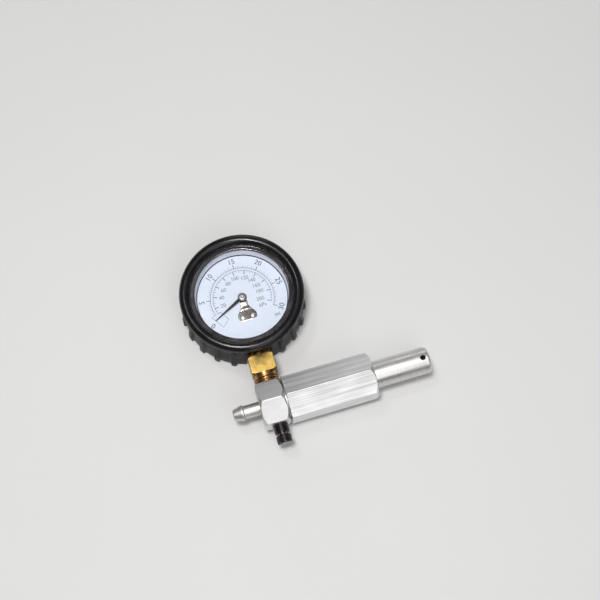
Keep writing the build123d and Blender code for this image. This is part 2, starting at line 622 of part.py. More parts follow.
def socket_piece():
    """The brass socket: thread, square, neck, tongue through the case and the block inside it."""
    relief_radius = SOCKET_THREAD_RADIUS - SOCKET_THREAD_EDGE
    socket = turned_y(
        (0, PORT_FLOOR),
        (relief_radius, PORT_FLOOR),
        (SOCKET_THREAD_RADIUS, PORT_FLOOR + SOCKET_THREAD_EDGE),
        (SOCKET_THREAD_RADIUS, SQUARE_START - SOCKET_RELIEF_LENGTH),
        (relief_radius, SQUARE_START - SOCKET_RELIEF_LENGTH),
        (relief_radius, SQUARE_START),
        (0, SQUARE_START),
    )
    half = SQUARE_FLATS / 2
    corner = half * math.sqrt(2)
    square = block_between((-half, SQUARE_START, -half), (half, SQUARE_END, half))
    square = square & turned_y(
        (0, SQUARE_START),
        (corner - SQUARE_CORNER, SQUARE_START),
        (corner, SQUARE_START + SQUARE_CORNER / 2),
        (corner, SQUARE_END - SQUARE_CORNER / 2),
        (corner - SQUARE_CORNER, SQUARE_END),
        (0, SQUARE_END),
    )
    neck_end = GAUGE_CENTRE - CASE_RADIUS - SIDE_GAP
    socket = socket + square + rod_y(SOCKET_NECK_RADIUS, SQUARE_END, neck_end)

    # The tall block starts where its own corners reach the round case wall.
    reach = math.sqrt((CASE_LOWER_INNER - SIDE_GAP) ** 2 - SOCKET_BLOCK_HALF_WIDTH**2)
    tall_start = GAUGE_CENTRE - reach
    ledge_start = GAUGE_CENTRE + LEDGE_START
    socket = socket + block_between(
        (-TONGUE_HALF_WIDTH, neck_end, TONGUE_BOTTOM),
        (TONGUE_HALF_WIDTH, tall_start + OVERCUT, TONGUE_TOP),
    )
    socket = socket + block_between(
        (-SOCKET_BLOCK_HALF_WIDTH, tall_start, CASE_INNER_BACK),
        (SOCKET_BLOCK_HALF_WIDTH, ledge_start, TONGUE_TOP),
    )
    socket = socket + block_between(
        (-SOCKET_BLOCK_HALF_WIDTH, ledge_start, CASE_INNER_BACK),
        (SOCKET_BLOCK_HALF_WIDTH, ledge_start + SOCKET_LEDGE_LENGTH, REAR_PLATE_BOTTOM),
    )
    seat = tube_bend(THREAD_GAP, TUBE_ROOT_ANGLE - TUBE_SEAT_ANGLE, TUBE_ROOT_ANGLE)
    tube_port = disc(TUBE_PORT_RADIUS, TUBE_MID_HEIGHT - TUBE_PORT_RADIUS, 0, (0, -TUBE_RADIUS))
    cuts = seat + tube_port
    for centre in CASE_SCREWS:
        cuts = cuts + disc(
            CASE_SCREW_RADIUS + THREAD_GAP,
            CASE_INNER_BACK - OVERCUT,
            CASE_INNER_BACK + CASE_SCREW_DEPTH + THREAD_GAP,
            centre,
        )
    for centre in BASE_SCREWS:
        cuts = cuts + disc(
            BASE_SCREW_RADIUS + THREAD_GAP,
            REAR_PLATE_BOTTOM - BASE_SCREW_DEPTH - THREAD_GAP,
            REAR_PLATE_BOTTOM + OVERCUT,
            centre,
        )
    socket = socket - Pos(0, GAUGE_CENTRE, 0) * cuts
    return socket - rod_y(GALLERY_RADIUS, PORT_FLOOR - OVERCUT, GAUGE_CENTRE - TUBE_RADIUS)


def case_pieces():
    """The stepped steel case and the two screws that hold the socket in it."""
    case = turned_z(
        (0, CASE_BACK),
        (CASE_LOWER_OUTER - CASE_WALL, CASE_BACK),
        (CASE_LOWER_OUTER, CASE_BACK + CASE_WALL),
        (CASE_LOWER_OUTER, CASE_SHOULDER - CASE_WALL),
        (CASE_RADIUS, CASE_SHOULDER - CASE_WALL),
        (CASE_RADIUS, CASE_RIM),
        (CASE_INNER, CASE_RIM),
        (CASE_INNER, CASE_SHOULDER),
        (CASE_LOWER_INNER, CASE_SHOULDER),
        (CASE_LOWER_INNER, CASE_INNER_BACK),
        (0, CASE_INNER_BACK),
    )
    tongue_hole = block_between(
        (-TONGUE_HALF_WIDTH - RUNNING_GAP, -CASE_RADIUS - OVERCUT, TONGUE_BOTTOM - RUNNING_GAP),
        (TONGUE_HALF_WIDTH + RUNNING_GAP, LEDGE_START, TONGUE_TOP + RUNNING_GAP),
    )
    case = case - tongue_hole
    screws = Part()
    for centre in CASE_SCREWS:
        case = case - through_hole(CASE_SCREW_RADIUS + RUNNING_GAP, CASE_BACK, CASE_INNER_BACK, centre)
        head_bottom = CASE_BACK - CASE_SCREW_HEAD_HEIGHT
        screws = screws + screw_head(
            CASE_SCREW_HEAD_RADIUS,
            CASE_BACK,
            head_bottom,
            CASE_SCREW_SLOT,
            CASE_SCREW_HEAD_HEIGHT / 2,
            0,
            centre,
            CASE_SCREW_HEAD_EDGE,
        )
        screws = screws + disc(CASE_SCREW_RADIUS, CASE_BACK, CASE_INNER_BACK + CASE_SCREW_DEPTH, centre)
    return {"gauge_case": case, "case_screws": screws}


def window_outline():
    """The pear-shaped window's outline: straight top, hollow sides, round shoulders, flat base."""
    top_right = (WINDOW_TOP_RADIUS, 0)
    waist = (WINDOW_WAIST_HALF_WIDTH, -WINDOW_WAIST_DROP)
    widest = (WINDOW_HALF_WIDTH, -WINDOW_WIDEST_DROP)
    base = (WINDOW_BASE_HALF_WIDTH, -WINDOW_BOTTOM)
    side = Spline(waist, widest, tangents=[(0, -1), (0, -1)])
    shoulder = Spline(widest, base, tangents=[(0, -1), (-1, 0)])
    right = Curve() + [Line(top_right, waist), side, shoulder]
    left = mirror(right, about=Plane.YZ)
    top = Line(top_right, (-WINDOW_TOP_RADIUS, 0))
    bottom = Line(base, (-WINDOW_BASE_HALF_WIDTH, -WINDOW_BOTTOM))
    return make_face((Curve() + [right, left, top, bottom]).edges())


def front_pieces():
    """The dial, the spacer that holds it, the gasket, the lens and the bezel that grips them."""
    dial = disc(CASE_INNER - SIDE_GAP, CASE_SHOULDER, DIAL_TOP)
    dial = dial - through_hole(WINDOW_TOP_RADIUS, CASE_SHOULDER, DIAL_TOP)
    window = extrude(window_outline(), DIAL_THICKNESS + 2 * OVERCUT)
    dial = dial - Pos(0, 0, CASE_SHOULDER - OVERCUT) * window
    spacer_inner = CASE_INNER - SPACER_WALL
    bezel = turned_z(
        (BEZEL_OPENING, LENS_TOP),
        (BEZEL_INNER, LENS_TOP),
        (BEZEL_INNER, BEZEL_TOP - BEZEL_DEPTH),
        (BEZEL_RADIUS, BEZEL_TOP - BEZEL_DEPTH),
        (BEZEL_RADIUS, BEZEL_TOP - BEZEL_EDGE),
        (BEZEL_RADIUS - BEZEL_EDGE, BEZEL_TOP),
        (BEZEL_OPENING + BEZEL_EDGE, BEZEL_TOP),
        (BEZEL_OPENING, BEZEL_TOP - BEZEL_EDGE),
    )
    return {
        "dial_plate": dial,
        "spacer_ring": ring(spacer_inner, CASE_INNER - THREAD_GAP, DIAL_TOP, CASE_RIM),
        "lens_gasket": ring(spacer_inner, LENS_RADIUS, CASE_RIM, LENS_BOTTOM),
        "lens": disc(LENS_RADIUS, LENS_BOTTOM, LENS_TOP),
        "bezel_ring": bezel,
    }


def boot_rib():
    """One rib of the boot: a round-crowned bar cut to an envelope that fades out at its top."""
    root = BOOT_WALL_RADIUS - OVERCUT
    outline = Polyline(
        (root, -BOOT_RIB_BASE_WIDTH / 2),
        (BOOT_RIB_RADIUS, -BOOT_RIB_CROWN_WIDTH / 2),
        (BOOT_RIB_RADIUS, BOOT_RIB_CROWN_WIDTH / 2),
        (root, BOOT_RIB_BASE_WIDTH / 2),
        close=True,
    )
    face = make_face(outline)
    face = fillet(face.vertices().group_by(Axis.X)[-1], BOOT_RIB_ROUND)
    bar = extrude(face, BOOT_LIP_HEIGHT - FLOOR)
    rib_top = BOOT_LIP_UNDER + BOOT_RIB_EDGE
    envelope = turned_z(
        (root, FLOOR),
        (BOOT_RIB_RADIUS - BOOT_RIB_EDGE, FLOOR),
        (BOOT_RIB_RADIUS, FLOOR + BOOT_RIB_EDGE),
        (BOOT_RIB_RADIUS, FLOOR + BOOT_RIB_STRAIGHT),
        (BOOT_WALL_RADIUS + BOOT_RIB_TOP_DEPTH, rib_top),
        (root, rib_top + BOOT_RIB_FADE),
    )
    return Pos(0, 0, FLOOR) * bar & envelope


def boot_piece():
    """The rubber boot: round front lip, flared wall, ribs, and the slot for the stem."""
    lip_middle = BOOT_LIP_RADIUS - BOOT_LIP_ROUND
    lip_floor = BEZEL_TOP + THREAD_GAP
    back_inner = CASE_BACK - THREAD_GAP
    lower_inner = CASE_LOWER_OUTER + THREAD_GAP
    wall = turned_z(
        (BOOT_BACK_OPENING, FLOOR),
        (BOOT_BACK_RADIUS - BOOT_RIB_EDGE, FLOOR),
        (BOOT_BACK_RADIUS, FLOOR + BOOT_RIB_EDGE),
        (BOOT_BACK_RADIUS, FLOOR + BOOT_RIB_STRAIGHT),
        (BOOT_WALL_RADIUS, BOOT_LIP_UNDER),
        (BOOT_WALL_RADIUS, BOOT_LIP_HEIGHT),
        (lip_middle, BOOT_LIP_HEIGHT),
        (lip_middle, lip_floor),
        (BOOT_INNER, lip_floor),
        (BOOT_INNER, CASE_SHOULDER - CASE_WALL),
        (lower_inner, CASE_SHOULDER - CASE_WALL - THREAD_GAP),
        (lower_inner, back_inner + CASE_WALL),
        (CASE_LOWER_OUTER - CASE_WALL, back_inner),
        (BOOT_BACK_OPENING, back_inner),
    )
    lip = revolve(Plane.XZ * Pos(lip_middle, BOOT_LIP_HEIGHT) * Circle(BOOT_LIP_ROUND), Axis.Z, 360)
    lip = lip - disc(BOOT_INNER, FLOOR, lip_floor)
    under = turned_z(
        (BOOT_WALL_RADIUS - OVERCUT, BOOT_LIP_UNDER),
        (BOOT_WALL_RADIUS, BOOT_LIP_UNDER),
        (BOOT_LIP_RADIUS, BOOT_LIP_HEIGHT),
        (BOOT_WALL_RADIUS - OVERCUT, BOOT_LIP_HEIGHT),
    )
    boot = wall + lip + under
    rib = boot_rib()
    first = -90 + 180 / BOOT_RIB_COUNT
    for index in range(BOOT_RIB_COUNT):
        boot = boot + Rot(0, 0, first + 360 * index / BOOT_RIB_COUNT) * rib
    slot = block_between(
        (-BOOT_SLOT_HALF_WIDTH, -BOOT_RIB_RADIUS - OVERCUT, FLOOR - OVERCUT),
        (BOOT_SLOT_HALF_WIDTH, -CASE_LOWER_OUTER + BOOT_SLOT_REACH, BOOT_SLOT_TOP),
    )
    upper_edges = slot.edges().filter_by(Axis.Y).group_by(Axis.Z)[-1]
    return boot - fillet(upper_edges, BOOT_SLOT_HALF_WIDTH / 2)


def gear_teeth(pitch_radius, count_full, first, last, towards):
    """Corner points of straight-sided teeth on a pitch circle; tooth 0 points at an angle."""
    step = 360 / count_full
    tip = pitch_radius + GEAR_MODULE * TOOTH_ADDENDUM
    root = pitch_radius - GEAR_MODULE * TOOTH_DEDENDUM
    corners = []
    for index in range(first, last + 1):
        middle = towards + index * step
        corners.append(polar(root, middle - TOOTH_ROOT_SHARE * step))
        corners.append(polar(tip, middle - TOOTH_TIP_SHARE * step))
        corners.append(polar(tip, middle + TOOTH_TIP_SHARE * step))
        corners.append(polar(root, middle + TOOTH_ROOT_SHARE * step))
    return corners


def movement_plates():
    """The two plates of the movement, with bearings for both arbors and holes for the screws."""
    pivot_right = SECTOR_PIVOT[0] + PLATE_EDGE
    upper = [
        (-PLATE_EDGE, PLATE_EDGE),
        (PLATE_EDGE, PLATE_EDGE),
        (pivot_right, SECTOR_PIVOT[1] + PLATE_EDGE),
        (pivot_right, SECTOR_PIVOT[1] - PLATE_EDGE),
    ]
    rear_half = SOCKET_BLOCK_HALF_WIDTH - SIDE_GAP
    rear_end = LEDGE_START + SIDE_GAP
    rear_outline = upper + [
        (rear_half, -PILLAR_DROP - PLATE_EDGE),
        (rear_half, rear_end),
        (-rear_half, rear_end),
        (-rear_half, -PILLAR_DROP),
    ]
    front_half = WINDOW_HALF_WIDTH + FRONT_PLATE_MARGIN
    front_end = -WINDOW_BOTTOM - FRONT_PLATE_MARGIN
    front_outline = upper + [
        (front_half, front_end),
        (-front_half, front_end),
        (-front_half, -PILLAR_DROP + PLATE_EDGE),
    ]
    rear = slab(rear_outline, REAR_PLATE_BOTTOM, REAR_PLATE_TOP, PLATE_CORNER)
    front = slab(front_outline, FRONT_PLATE_BOTTOM, FRONT_PLATE_TOP, PLATE_CORNER)
    bearing = ARBOR_RADIUS + RUNNING_GAP
    for centre in ((0, 0), SECTOR_PIVOT):
        rear = rear - through_hole(bearing, REAR_PLATE_BOTTOM, REAR_PLATE_TOP, centre)
        front = front - through_hole(bearing, FRONT_PLATE_BOTTOM, FRONT_PLATE_TOP, centre)
    for centre in PILLARS:
        hole_radius = PILLAR_SCREW_RADIUS + THREAD_GAP
        front = front - through_hole(hole_radius, FRONT_PLATE_BOTTOM, FRONT_PLATE_TOP, centre)
    for centre in BASE_SCREWS:
        hole_radius = BASE_SCREW_RADIUS + RUNNING_GAP
        rear = rear - through_hole(hole_radius, REAR_PLATE_BOTTOM, REAR_PLATE_TOP, centre)
    return {"rear_plate": rear, "front_plate": front}


def movement_fasteners():
    """The pillars between the plates, the screws into them and the screws into the socket."""
    pillars = Part()
    plate_screws = Part()
    base_screws = Part()
    for centre in PILLARS:
        hole_radius = PILLAR_SCREW_RADIUS + THREAD_GAP
        pillars = pillars + ring(hole_radius, PILLAR_RADIUS, REAR_PLATE_TOP, FRONT_PLATE_BOTTOM, centre)
        turn = math.copysign(PILLAR_SCREW_TURN, centre[0])
        plate_screws = plate_screws + screw_head(
            PILLAR_SCREW_HEAD,
            FRONT_PLATE_TOP,
            FRONT_PLATE_TOP + PILLAR_SCREW_HEIGHT,
            PILLAR_SCREW_SLOT,
            PILLAR_SCREW_HEIGHT / 2,
            turn,
            centre,
            PILLAR_SCREW_HEIGHT / 4,
        )
        shank_end = REAR_PLATE_TOP + PILLAR_SCREW_RADIUS
        plate_screws = plate_screws + disc(PILLAR_SCREW_RADIUS, shank_end, FRONT_PLATE_TOP, centre)
    for centre in BASE_SCREWS:
        shank_end = REAR_PLATE_BOTTOM - BASE_SCREW_DEPTH
        head_top = REAR_PLATE_TOP + BASE_SCREW_HEAD_HEIGHT
        base_screws = base_screws + disc(BASE_SCREW_RADIUS, shank_end, REAR_PLATE_TOP, centre)
        base_screws = base_screws + disc(2 * BASE_SCREW_RADIUS, REAR_PLATE_TOP, head_top, centre)
    return {"plate_pillars": pillars, "plate_screws": plate_screws, "base_screws": base_screws}


def sector_gear():
    """The toothed sector with its hub, window and tail, and the pin on which the link turns."""
    towards_pinion = SECTOR_PIVOT_ANGLE + 180
    step = 360 / SECTOR_TEETH
    last = SECTOR_SPARE_TEETH
    first = -math.ceil(SECTOR_SWEEP / step) - SECTOR_SPARE_TEETH
    arm_start = towards_pinion + first * step
    arm_end = towards_pinion + last * step
    arm_middle = (arm_start + arm_end) / 2
    teeth = gear_teeth(SECTOR_PITCH, SECTOR_TEETH, first, last, towards_pinion)
    hub_side_end = polar(SECTOR_HUB_RADIUS, arm_end + SECTOR_HUB_SPREAD)
    hub_side_start = polar(SECTOR_HUB_RADIUS, arm_start - SECTOR_HUB_SPREAD)
    sector = slab([hub_side_end, hub_side_start] + teeth, SECTOR_BOTTOM, SECTOR_TOP)
    window_inner = SECTOR_HUB_RADIUS + SECTOR_HUB_MARGIN
    window_outer = SECTOR_PITCH - SECTOR_RIM_WIDTH
    quarter = (arm_end - arm_start) / 4
    window = [
        polar(window_inner, arm_middle - quarter),
        polar(window_outer, arm_middle - quarter),
        polar(window_outer, arm_middle),
        polar(window_outer, arm_middle + quarter),
        polar(window_inner, arm_middle + quarter),
    ]
    sector = sector - slab(window, SECTOR_BOTTOM - OVERCUT, SECTOR_TOP + OVERCUT)
    sector = sector + disc(SECTOR_HUB_RADIUS, SECTOR_BOTTOM, SECTOR_TOP)
    sector = sector + bar_to(TAIL_OFFSET, TAIL_WIDTH, SECTOR_BOTTOM, SECTOR_TOP)
    sector = sector + disc(LINK_EYE_RADIUS, SECTOR_BOTTOM, SECTOR_TOP, TAIL_OFFSET)
    sector = sector + disc(LINK_PIN_RADIUS, LINK_BOTTOM - SIDE_GAP, SECTOR_BOTTOM, TAIL_OFFSET)
    sector = sector - through_hole(ARBOR_RADIUS + THREAD_GAP, SECTOR_BOTTOM, SECTOR_TOP)
    return Pos(SECTOR_PIVOT[0], SECTOR_PIVOT[1], 0) * sector


def link_bar():
    """The link from the sector's tail to the tube's tip; its eye at the tip is the looser one."""
    reach = (TIP_PIN[0] - TAIL_PIN[0], TIP_PIN[1] - TAIL_PIN[1])
    link = bar_to(reach, LINK_WIDTH, LINK_BOTTOM, LINK_TOP)
    link = Pos(TAIL_PIN[0], TAIL_PIN[1], 0) * link
    for centre, gap in ((TAIL_PIN, RUNNING_GAP), (TIP_PIN, LINK_OPEN_PIVOT_GAP)):
        link = link + disc(LINK_EYE_RADIUS, LINK_BOTTOM, LINK_TOP, centre)
        link = link - through_hole(LINK_PIN_RADIUS + gap, LINK_BOTTOM, LINK_TOP, centre)
    return link


def tube_pieces():
    """The Bourdon tube, an open-bored flattened tube, and the block soldered on its free end."""
    root_end = TUBE_ROOT_ANGLE + 360
    tube = tube_bend(0, TUBE_TIP_ANGLE, root_end)
    tube = tube - tube_bend(-TUBE_WALL, TUBE_TIP_ANGLE - OVERCUT, root_end + OVERCUT)
    block_start = TUBE_TIP_ANGLE - TIP_BLOCK_ANGLE
    tip = tube_bend(TIP_BLOCK_GROWTH, block_start, TUBE_TIP_ANGLE - SIDE_GAP)
    ear_top = LINK_BOTTOM - RUNNING_GAP
    ear_bottom = ear_top - TIP_EAR_THICKNESS
    ear = block_between(
        (TUBE_RADIUS - TIP_PIN_INSET, -TIP_EAR_WIDTH / 2, ear_bottom),
        (TUBE_RADIUS, TIP_EAR_WIDTH / 2, ear_top),
    )
    tip = tip + Rot(0, 0, TIP_PIN_ANGLE) * ear
    tip = tip + disc(LINK_EYE_RADIUS, ear_bottom, ear_top, TIP_PIN)
    tip = tip + disc(LINK_PIN_RADIUS, ear_top, LINK_TOP + SIDE_GAP / 2, TIP_PIN)
    return {"bourdon_tube": tube, "tube_tip": tip}


def pointer_pieces():
    """The pinion on its arbor, the tapered pointer on its hub and the bright pin over it."""
    half_tooth = 180 / PINION_TEETH
    teeth = gear_teeth(PINION_PITCH, PINION_TEETH, 0, PINION_TEETH - 1, SECTOR_PIVOT_ANGLE + half_tooth)
    sector_middle = (SECTOR_TOP + SECTOR_BOTTOM) / 2
    pinion = slab(teeth, sector_middle - PINION_LENGTH / 2, sector_middle + PINION_LENGTH / 2)
    pinion = pinion + disc(ARBOR_RADIUS, ARBOR_BOTTOM, POINTER_HUB_TOP)
    blade_outline = [
        (-POINTER_TAIL, -POINTER_WIDTH / 2),
        (0, -POINTER_WIDTH / 2),
        (POINTER_LENGTH, -POINTER_TIP_WIDTH / 2),
        (POINTER_LENGTH, POINTER_TIP_WIDTH / 2),
        (0, POINTER_WIDTH / 2),
        (-POINTER_TAIL, POINTER_WIDTH / 2),
    ]
    blade_bottom = POINTER_HUB_BOTTOM + SIDE_GAP
    pointer = slab(blade_outline, blade_bottom, blade_bottom + POINTER_BLADE)
    hub = disc(POINTER_HUB_RADIUS, POINTER_HUB_BOTTOM, POINTER_HUB_TOP)
    pointer = pointer + chamfer(hub.faces().sort_by(Axis.Z)[-1].edges(), POINTER_HUB_EDGE)
    pointer = pointer - through_hole(ARBOR_RADIUS + THREAD_GAP, POINTER_HUB_BOTTOM, POINTER_HUB_TOP)
    cap = disc(POINTER_PIN_RADIUS, POINTER_HUB_TOP, POINTER_HUB_TOP + POINTER_PIN_HEIGHT)
    return {
        "pinion_arbor": pinion,
        "pointer": Rot(0, 0, POINTER_REST_ANGLE) * pointer,
        "pointer_cap": chamfer(cap.faces().sort_by(Axis.Z)[-1].edges(), POINTER_PIN_HEIGHT / 2),
    }


def hairspring():
    """A flat spiral strip whose radius grows evenly with the angle."""
    steps = HAIRSPRING_TURNS * HAIRSPRING_POINTS_PER_TURN
    outer = []
    inner = []
    for index in range(steps + 1):
        share = index / steps
        radius = HAIRSPRING_INNER + (HAIRSPRING_OUTER - HAIRSPRING_INNER) * share
        degrees = 180 + 360 * HAIRSPRING_TURNS * (share - 1)
        outer.append(polar(radius + HAIRSPRING_STRIP / 2, degrees))
        inner.append(polar(radius - HAIRSPRING_STRIP / 2, degrees))
    edges = Curve() + [
        Spline(*outer),
        Line(outer[-1], inner[-1]),
        Spline(*reversed(inner)),
        Line(inner[0], outer[0]),
    ]
    return Pos(0, 0, HAIRSPRING_HEIGHT) * extrude(make_face(edges), HAIRSPRING_WIDTH)


def hairspring_stud():
    """The stud on the rear plate that holds the hairspring's outer end."""
    centre = polar(HAIRSPRING_OUTER + HAIRSPRING_STRIP / 2 + STUD_RADIUS + THREAD_GAP, 180)
    return disc(STUD_RADIUS, REAR_PLATE_TOP, HAIRSPRING_HEIGHT + HAIRSPRING_WIDTH, centre)


def gauge_head_pieces():
    """Everything drawn about the dial's centre."""
    pieces = {}
    pieces.update(case_pieces())
    pieces.update(front_pieces())
    pieces["rubber_boot"] = boot_piece()
    pieces.update(movement_plates())
    pieces.update(movement_fasteners())
    pieces["sector_gear"] = sector_gear()
    pieces["sector_arbor"] = disc(ARBOR_RADIUS, ARBOR_BOTTOM, FRONT_PLATE_TOP - SIDE_GAP, SECTOR_PIVOT)
    pieces["link_bar"] = link_bar()
    pieces.update(tube_pieces())
    pieces.update(pointer_pieces())
    pieces["hairspring"] = hairspring()
    pieces["hairspring_stud"] = hairspring_stud()
    return pieces


def build():
    """Makes every piece and moves it from the pump frame to the part's own frame."""
    pieces = {"valve_block": valve_block(), "hose_barb": hose_barb()}
    pieces.update(check_valve_pieces())
    pieces.update(bleed_valve_pieces())
    pieces["pump_barrel"] = pump_barrel()
    pieces.update(plunger_pieces())
    pieces["gauge_socket"] = socket_piece()
    for name, piece in gauge_head_pieces().items():
        pieces[name] = Pos(0, GAUGE_CENTRE, 0) * piece
    return {name: Pos(ORIGIN_X, ORIGIN_Y, HEX_RADIUS) * piece for name, piece in pieces.items()}


os.makedirs("parts", exist_ok=True)
for name, piece in build().items():
    export_step(piece, f"parts/{name}.step")
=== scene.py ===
import logging
import math
from dataclasses import dataclass
from enum import Enum
from functools import cache

import bmesh
import bpy
import numpy as np
from mathutils import Matrix, Vector


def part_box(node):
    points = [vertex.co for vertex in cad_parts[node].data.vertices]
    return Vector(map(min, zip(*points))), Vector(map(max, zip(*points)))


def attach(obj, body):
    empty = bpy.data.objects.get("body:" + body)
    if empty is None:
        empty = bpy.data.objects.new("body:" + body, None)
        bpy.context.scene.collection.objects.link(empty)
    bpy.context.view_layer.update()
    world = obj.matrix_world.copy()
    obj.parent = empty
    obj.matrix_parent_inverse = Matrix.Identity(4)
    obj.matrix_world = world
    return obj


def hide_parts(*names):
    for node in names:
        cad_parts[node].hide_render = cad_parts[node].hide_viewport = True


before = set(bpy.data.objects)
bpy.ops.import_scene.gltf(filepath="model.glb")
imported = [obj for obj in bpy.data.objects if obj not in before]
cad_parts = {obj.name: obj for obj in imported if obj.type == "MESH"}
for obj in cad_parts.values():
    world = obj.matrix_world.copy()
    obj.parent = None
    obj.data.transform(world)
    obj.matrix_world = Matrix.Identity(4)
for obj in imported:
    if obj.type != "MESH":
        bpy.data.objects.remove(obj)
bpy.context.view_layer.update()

# Looks of a pressure gauge with a hand pump, lying on its back. The classes hold their sizes in
# millimetres about the spindle that each piece is turned on; the meshes are in metres.
MM = 0.001
MERGE_DISTANCE = 2e-7
SHARP_ANGLE = math.radians(38)
SOFT_ANGLE = math.radians(50)
RIDGE_ANGLE = math.radians(25)
FULL_TURN = 2 * math.pi
CORNER_STATIONS = (-1.6, -1.0, -0.6, -0.2, 0.2, 0.6, 1.0, 1.6)
NORMAL_WEIGHT = 60
END_TILT = 0.3
log = logging.getLogger("scene")

Colour = tuple[float, float, float]
Place = tuple[float, float, float]
Corner = tuple[float, float]
Socket = bpy.types.NodeSocket


class Body(Enum):
    """The moving bodies that pieces ride on."""

    GAUGE = "gauge_body"
    PLUNGER = "plunger"
    BUTTON = "bleed_button"
    POINTER = "pointer_arbor"


class Grain(Enum):
    """Which way the tool marks of a metal surface run; the value stretches the pattern."""

    DRAWN_ALONG_X = (0.012, 1.0, 1.0)
    BRUSHED_ALONG_X = (0.05, 1.0, 1.0)
    TURNED_ABOUT_X = (1.0, 0.03, 0.03)
    TURNED_ABOUT_Y = (0.03, 1.0, 0.03)
    TURNED_ABOUT_Z = (0.03, 0.03, 1.0)
    EVEN = (1.0, 1.0, 1.0)


def middle(low: float, high: float) -> float:
    """Half way between two values."""
    return (low + high) / 2


def soften(outline: np.ndarray, width: float) -> np.ndarray:
    """Rounds every corner of a line of points.

    The line is replaced by its moving average over the given length each side, measured along
    the line. Straight stretches stay where they are, and a corner becomes a parabola.

    Args:
        outline: Corner points, the last two axes being point and coordinate.
        width: Length along the line, on each side of a corner, that is blended.

    Returns:
        The same lines with a few points round each corner.
    """
    steps = np.diff(outline, axis=-2)
    lengths = np.linalg.norm(steps, axis=-1)
    arc = np.concatenate([np.zeros(lengths.shape[:-1] + (1,)), np.cumsum(lengths, axis=-1)], axis=-1)
    directions = steps / np.maximum(lengths, 1e-12)[..., None]
    areas = outline[..., :-1, :] * lengths[..., None] + steps * lengths[..., None] / 2
    start_areas = np.concatenate([np.zeros_like(areas[..., :1, :]), np.cumsum(areas, axis=-2)], axis=-2)

    def integral(at: np.ndarray) -> np.ndarray:
        """The line's own integral up to each distance, carried on straight past its ends."""
        index = (at[..., :, None] >= arc[..., None, 1:-1]).sum(axis=-1)
        along = (at - np.take_along_axis(arc, index, axis=-1))[..., None]
        pick = index[..., None]
        base = np.take_along_axis(start_areas, pick, axis=-2)
        point = np.take_along_axis(outline, pick, axis=-2)
        direction = np.take_along_axis(directions, pick, axis=-2)
        return base + point * along + direction * along**2 / 2

    offsets = width * np.array(CORNER_STATIONS)
    stations = (arc[..., 1:-1, None] + offsets).reshape(arc.shape[:-1] + (-1,))
    stations = np.concatenate([arc[..., :1], stations, arc[..., -1:]], axis=-1)
    stations = np.sort(np.clip(stations, 0, arc[..., -1:]), axis=-1)
    return (integral(stations + width) - integral(stations - width)) / (2 * width)


def arc_line(centre: Corner, radius: float, start: float, end: float, count: int) -> np.ndarray:
    """Points on a circular arc; the angles are in degrees from the first axis."""
    angles = np.radians(np.linspace(start, end, count))
    return np.stack([centre[0] + radius * np.cos(angles), centre[1] + radius * np.sin(angles)], axis=-1)


def hermite(start: Corner, end: Corner, leave: Corner, arrive: Corner, count: int) -> np.ndarray:
    """A cubic curve between two points with given directions, each as long as the chord."""
    first, last = np.array(start), np.array(end)
    chord = np.linalg.norm(last - first)
    share = np.linspace(0, 1, count)[:, None]
    square, cube = share**2, share**3
    return (
        (2 * cube - 3 * square + 1) * first
        + (cube - 2 * square + share) * np.array(leave) * chord
        + (3 * square - 2 * cube) * last
        + (cube - square) * np.array(arrive) * chord
    )


def spread_evenly(line: np.ndarray, count: int) -> np.ndarray:
    """The same line with evenly spaced points, found by its length."""
    arc = np.concatenate([[0], np.cumsum(np.linalg.norm(np.diff(line, axis=0), axis=1))])
    at = np.linspace(0, arc[-1], count)
    return np.stack([np.interp(at, arc, line[:, axis]) for axis in range(line.shape[1])], axis=-1)


def thin(line: np.ndarray, tolerance: float) -> np.ndarray:
    """Leaves out the points that a straight stretch between their neighbours already passes."""
    kept = [0]
    for at in range(2, len(line)):
        start = line[kept[-1]]
        skipped = line[kept[-1] + 1:at] - start
        way = (line[at] - start) / max(np.linalg.norm(line[at] - start), 1e-9)
        away = skipped - (skipped @ way)[:, None] * way
        if np.linalg.norm(away, axis=1).max() > tolerance:
            kept.append(at - 1)
    return line[kept + [len(line) - 1]]


def even_turn(count: int) -> np.ndarray:
    """Angles evenly round a full turn, the first repeated at the end."""
    return np.linspace(0, FULL_TURN, count + 1)


def same_for_all(corners: list[Corner] | np.ndarray, count: int) -> np.ndarray:
    """Corner points that don't change with the angle, repeated for each angle."""
    return np.broadcast_to(np.array(corners, dtype=float), (count, len(corners), 2))


@dataclass(frozen=True)
class Spindle:
    """A line that pieces are turned about, with the direction in which angle 0 points."""

    origin: Place
    along: Place
    across: Place

    @property
    def axes(self) -> tuple[np.ndarray, np.ndarray, np.ndarray]:
        """The way of the line, of angle 0 and of a quarter turn."""
        axis, zero = np.array(self.along), np.array(self.across)
        return axis, zero, np.cross(axis, zero)

    def turn(self, profile: np.ndarray, angles: np.ndarray) -> np.ndarray:
        """A grid of points: the (along, radius) profile, one or one per angle, carried round.

        Args:
            profile: Points in millimetres, either (n, 2) or (angles, n, 2).
            angles: Angles of the grid's rows in radians.

        Returns:
            Points in metres, (angles, n, 3).
        """
        axis, zero, quarter = self.axes
        lines = np.broadcast_to(profile, (len(angles),) + profile.shape[-2:])
        spokes = np.cos(angles)[:, None] * zero + np.sin(angles)[:, None] * quarter
        return np.array(self.origin) + (lines[..., :1] * axis + lines[..., 1:] * spokes[:, None]) * MM

    def flat(self, points: np.ndarray, height: float | np.ndarray) -> np.ndarray:
        """Points of a plane square to the line, at a height along it, in metres."""
        axis, zero, quarter = self.axes
        heights = np.broadcast_to(height, points.shape[:-1])[..., None]
        placed = points[..., :1] * zero + points[..., 1:2] * quarter + heights * axis
        return np.array(self.origin) + placed * MM


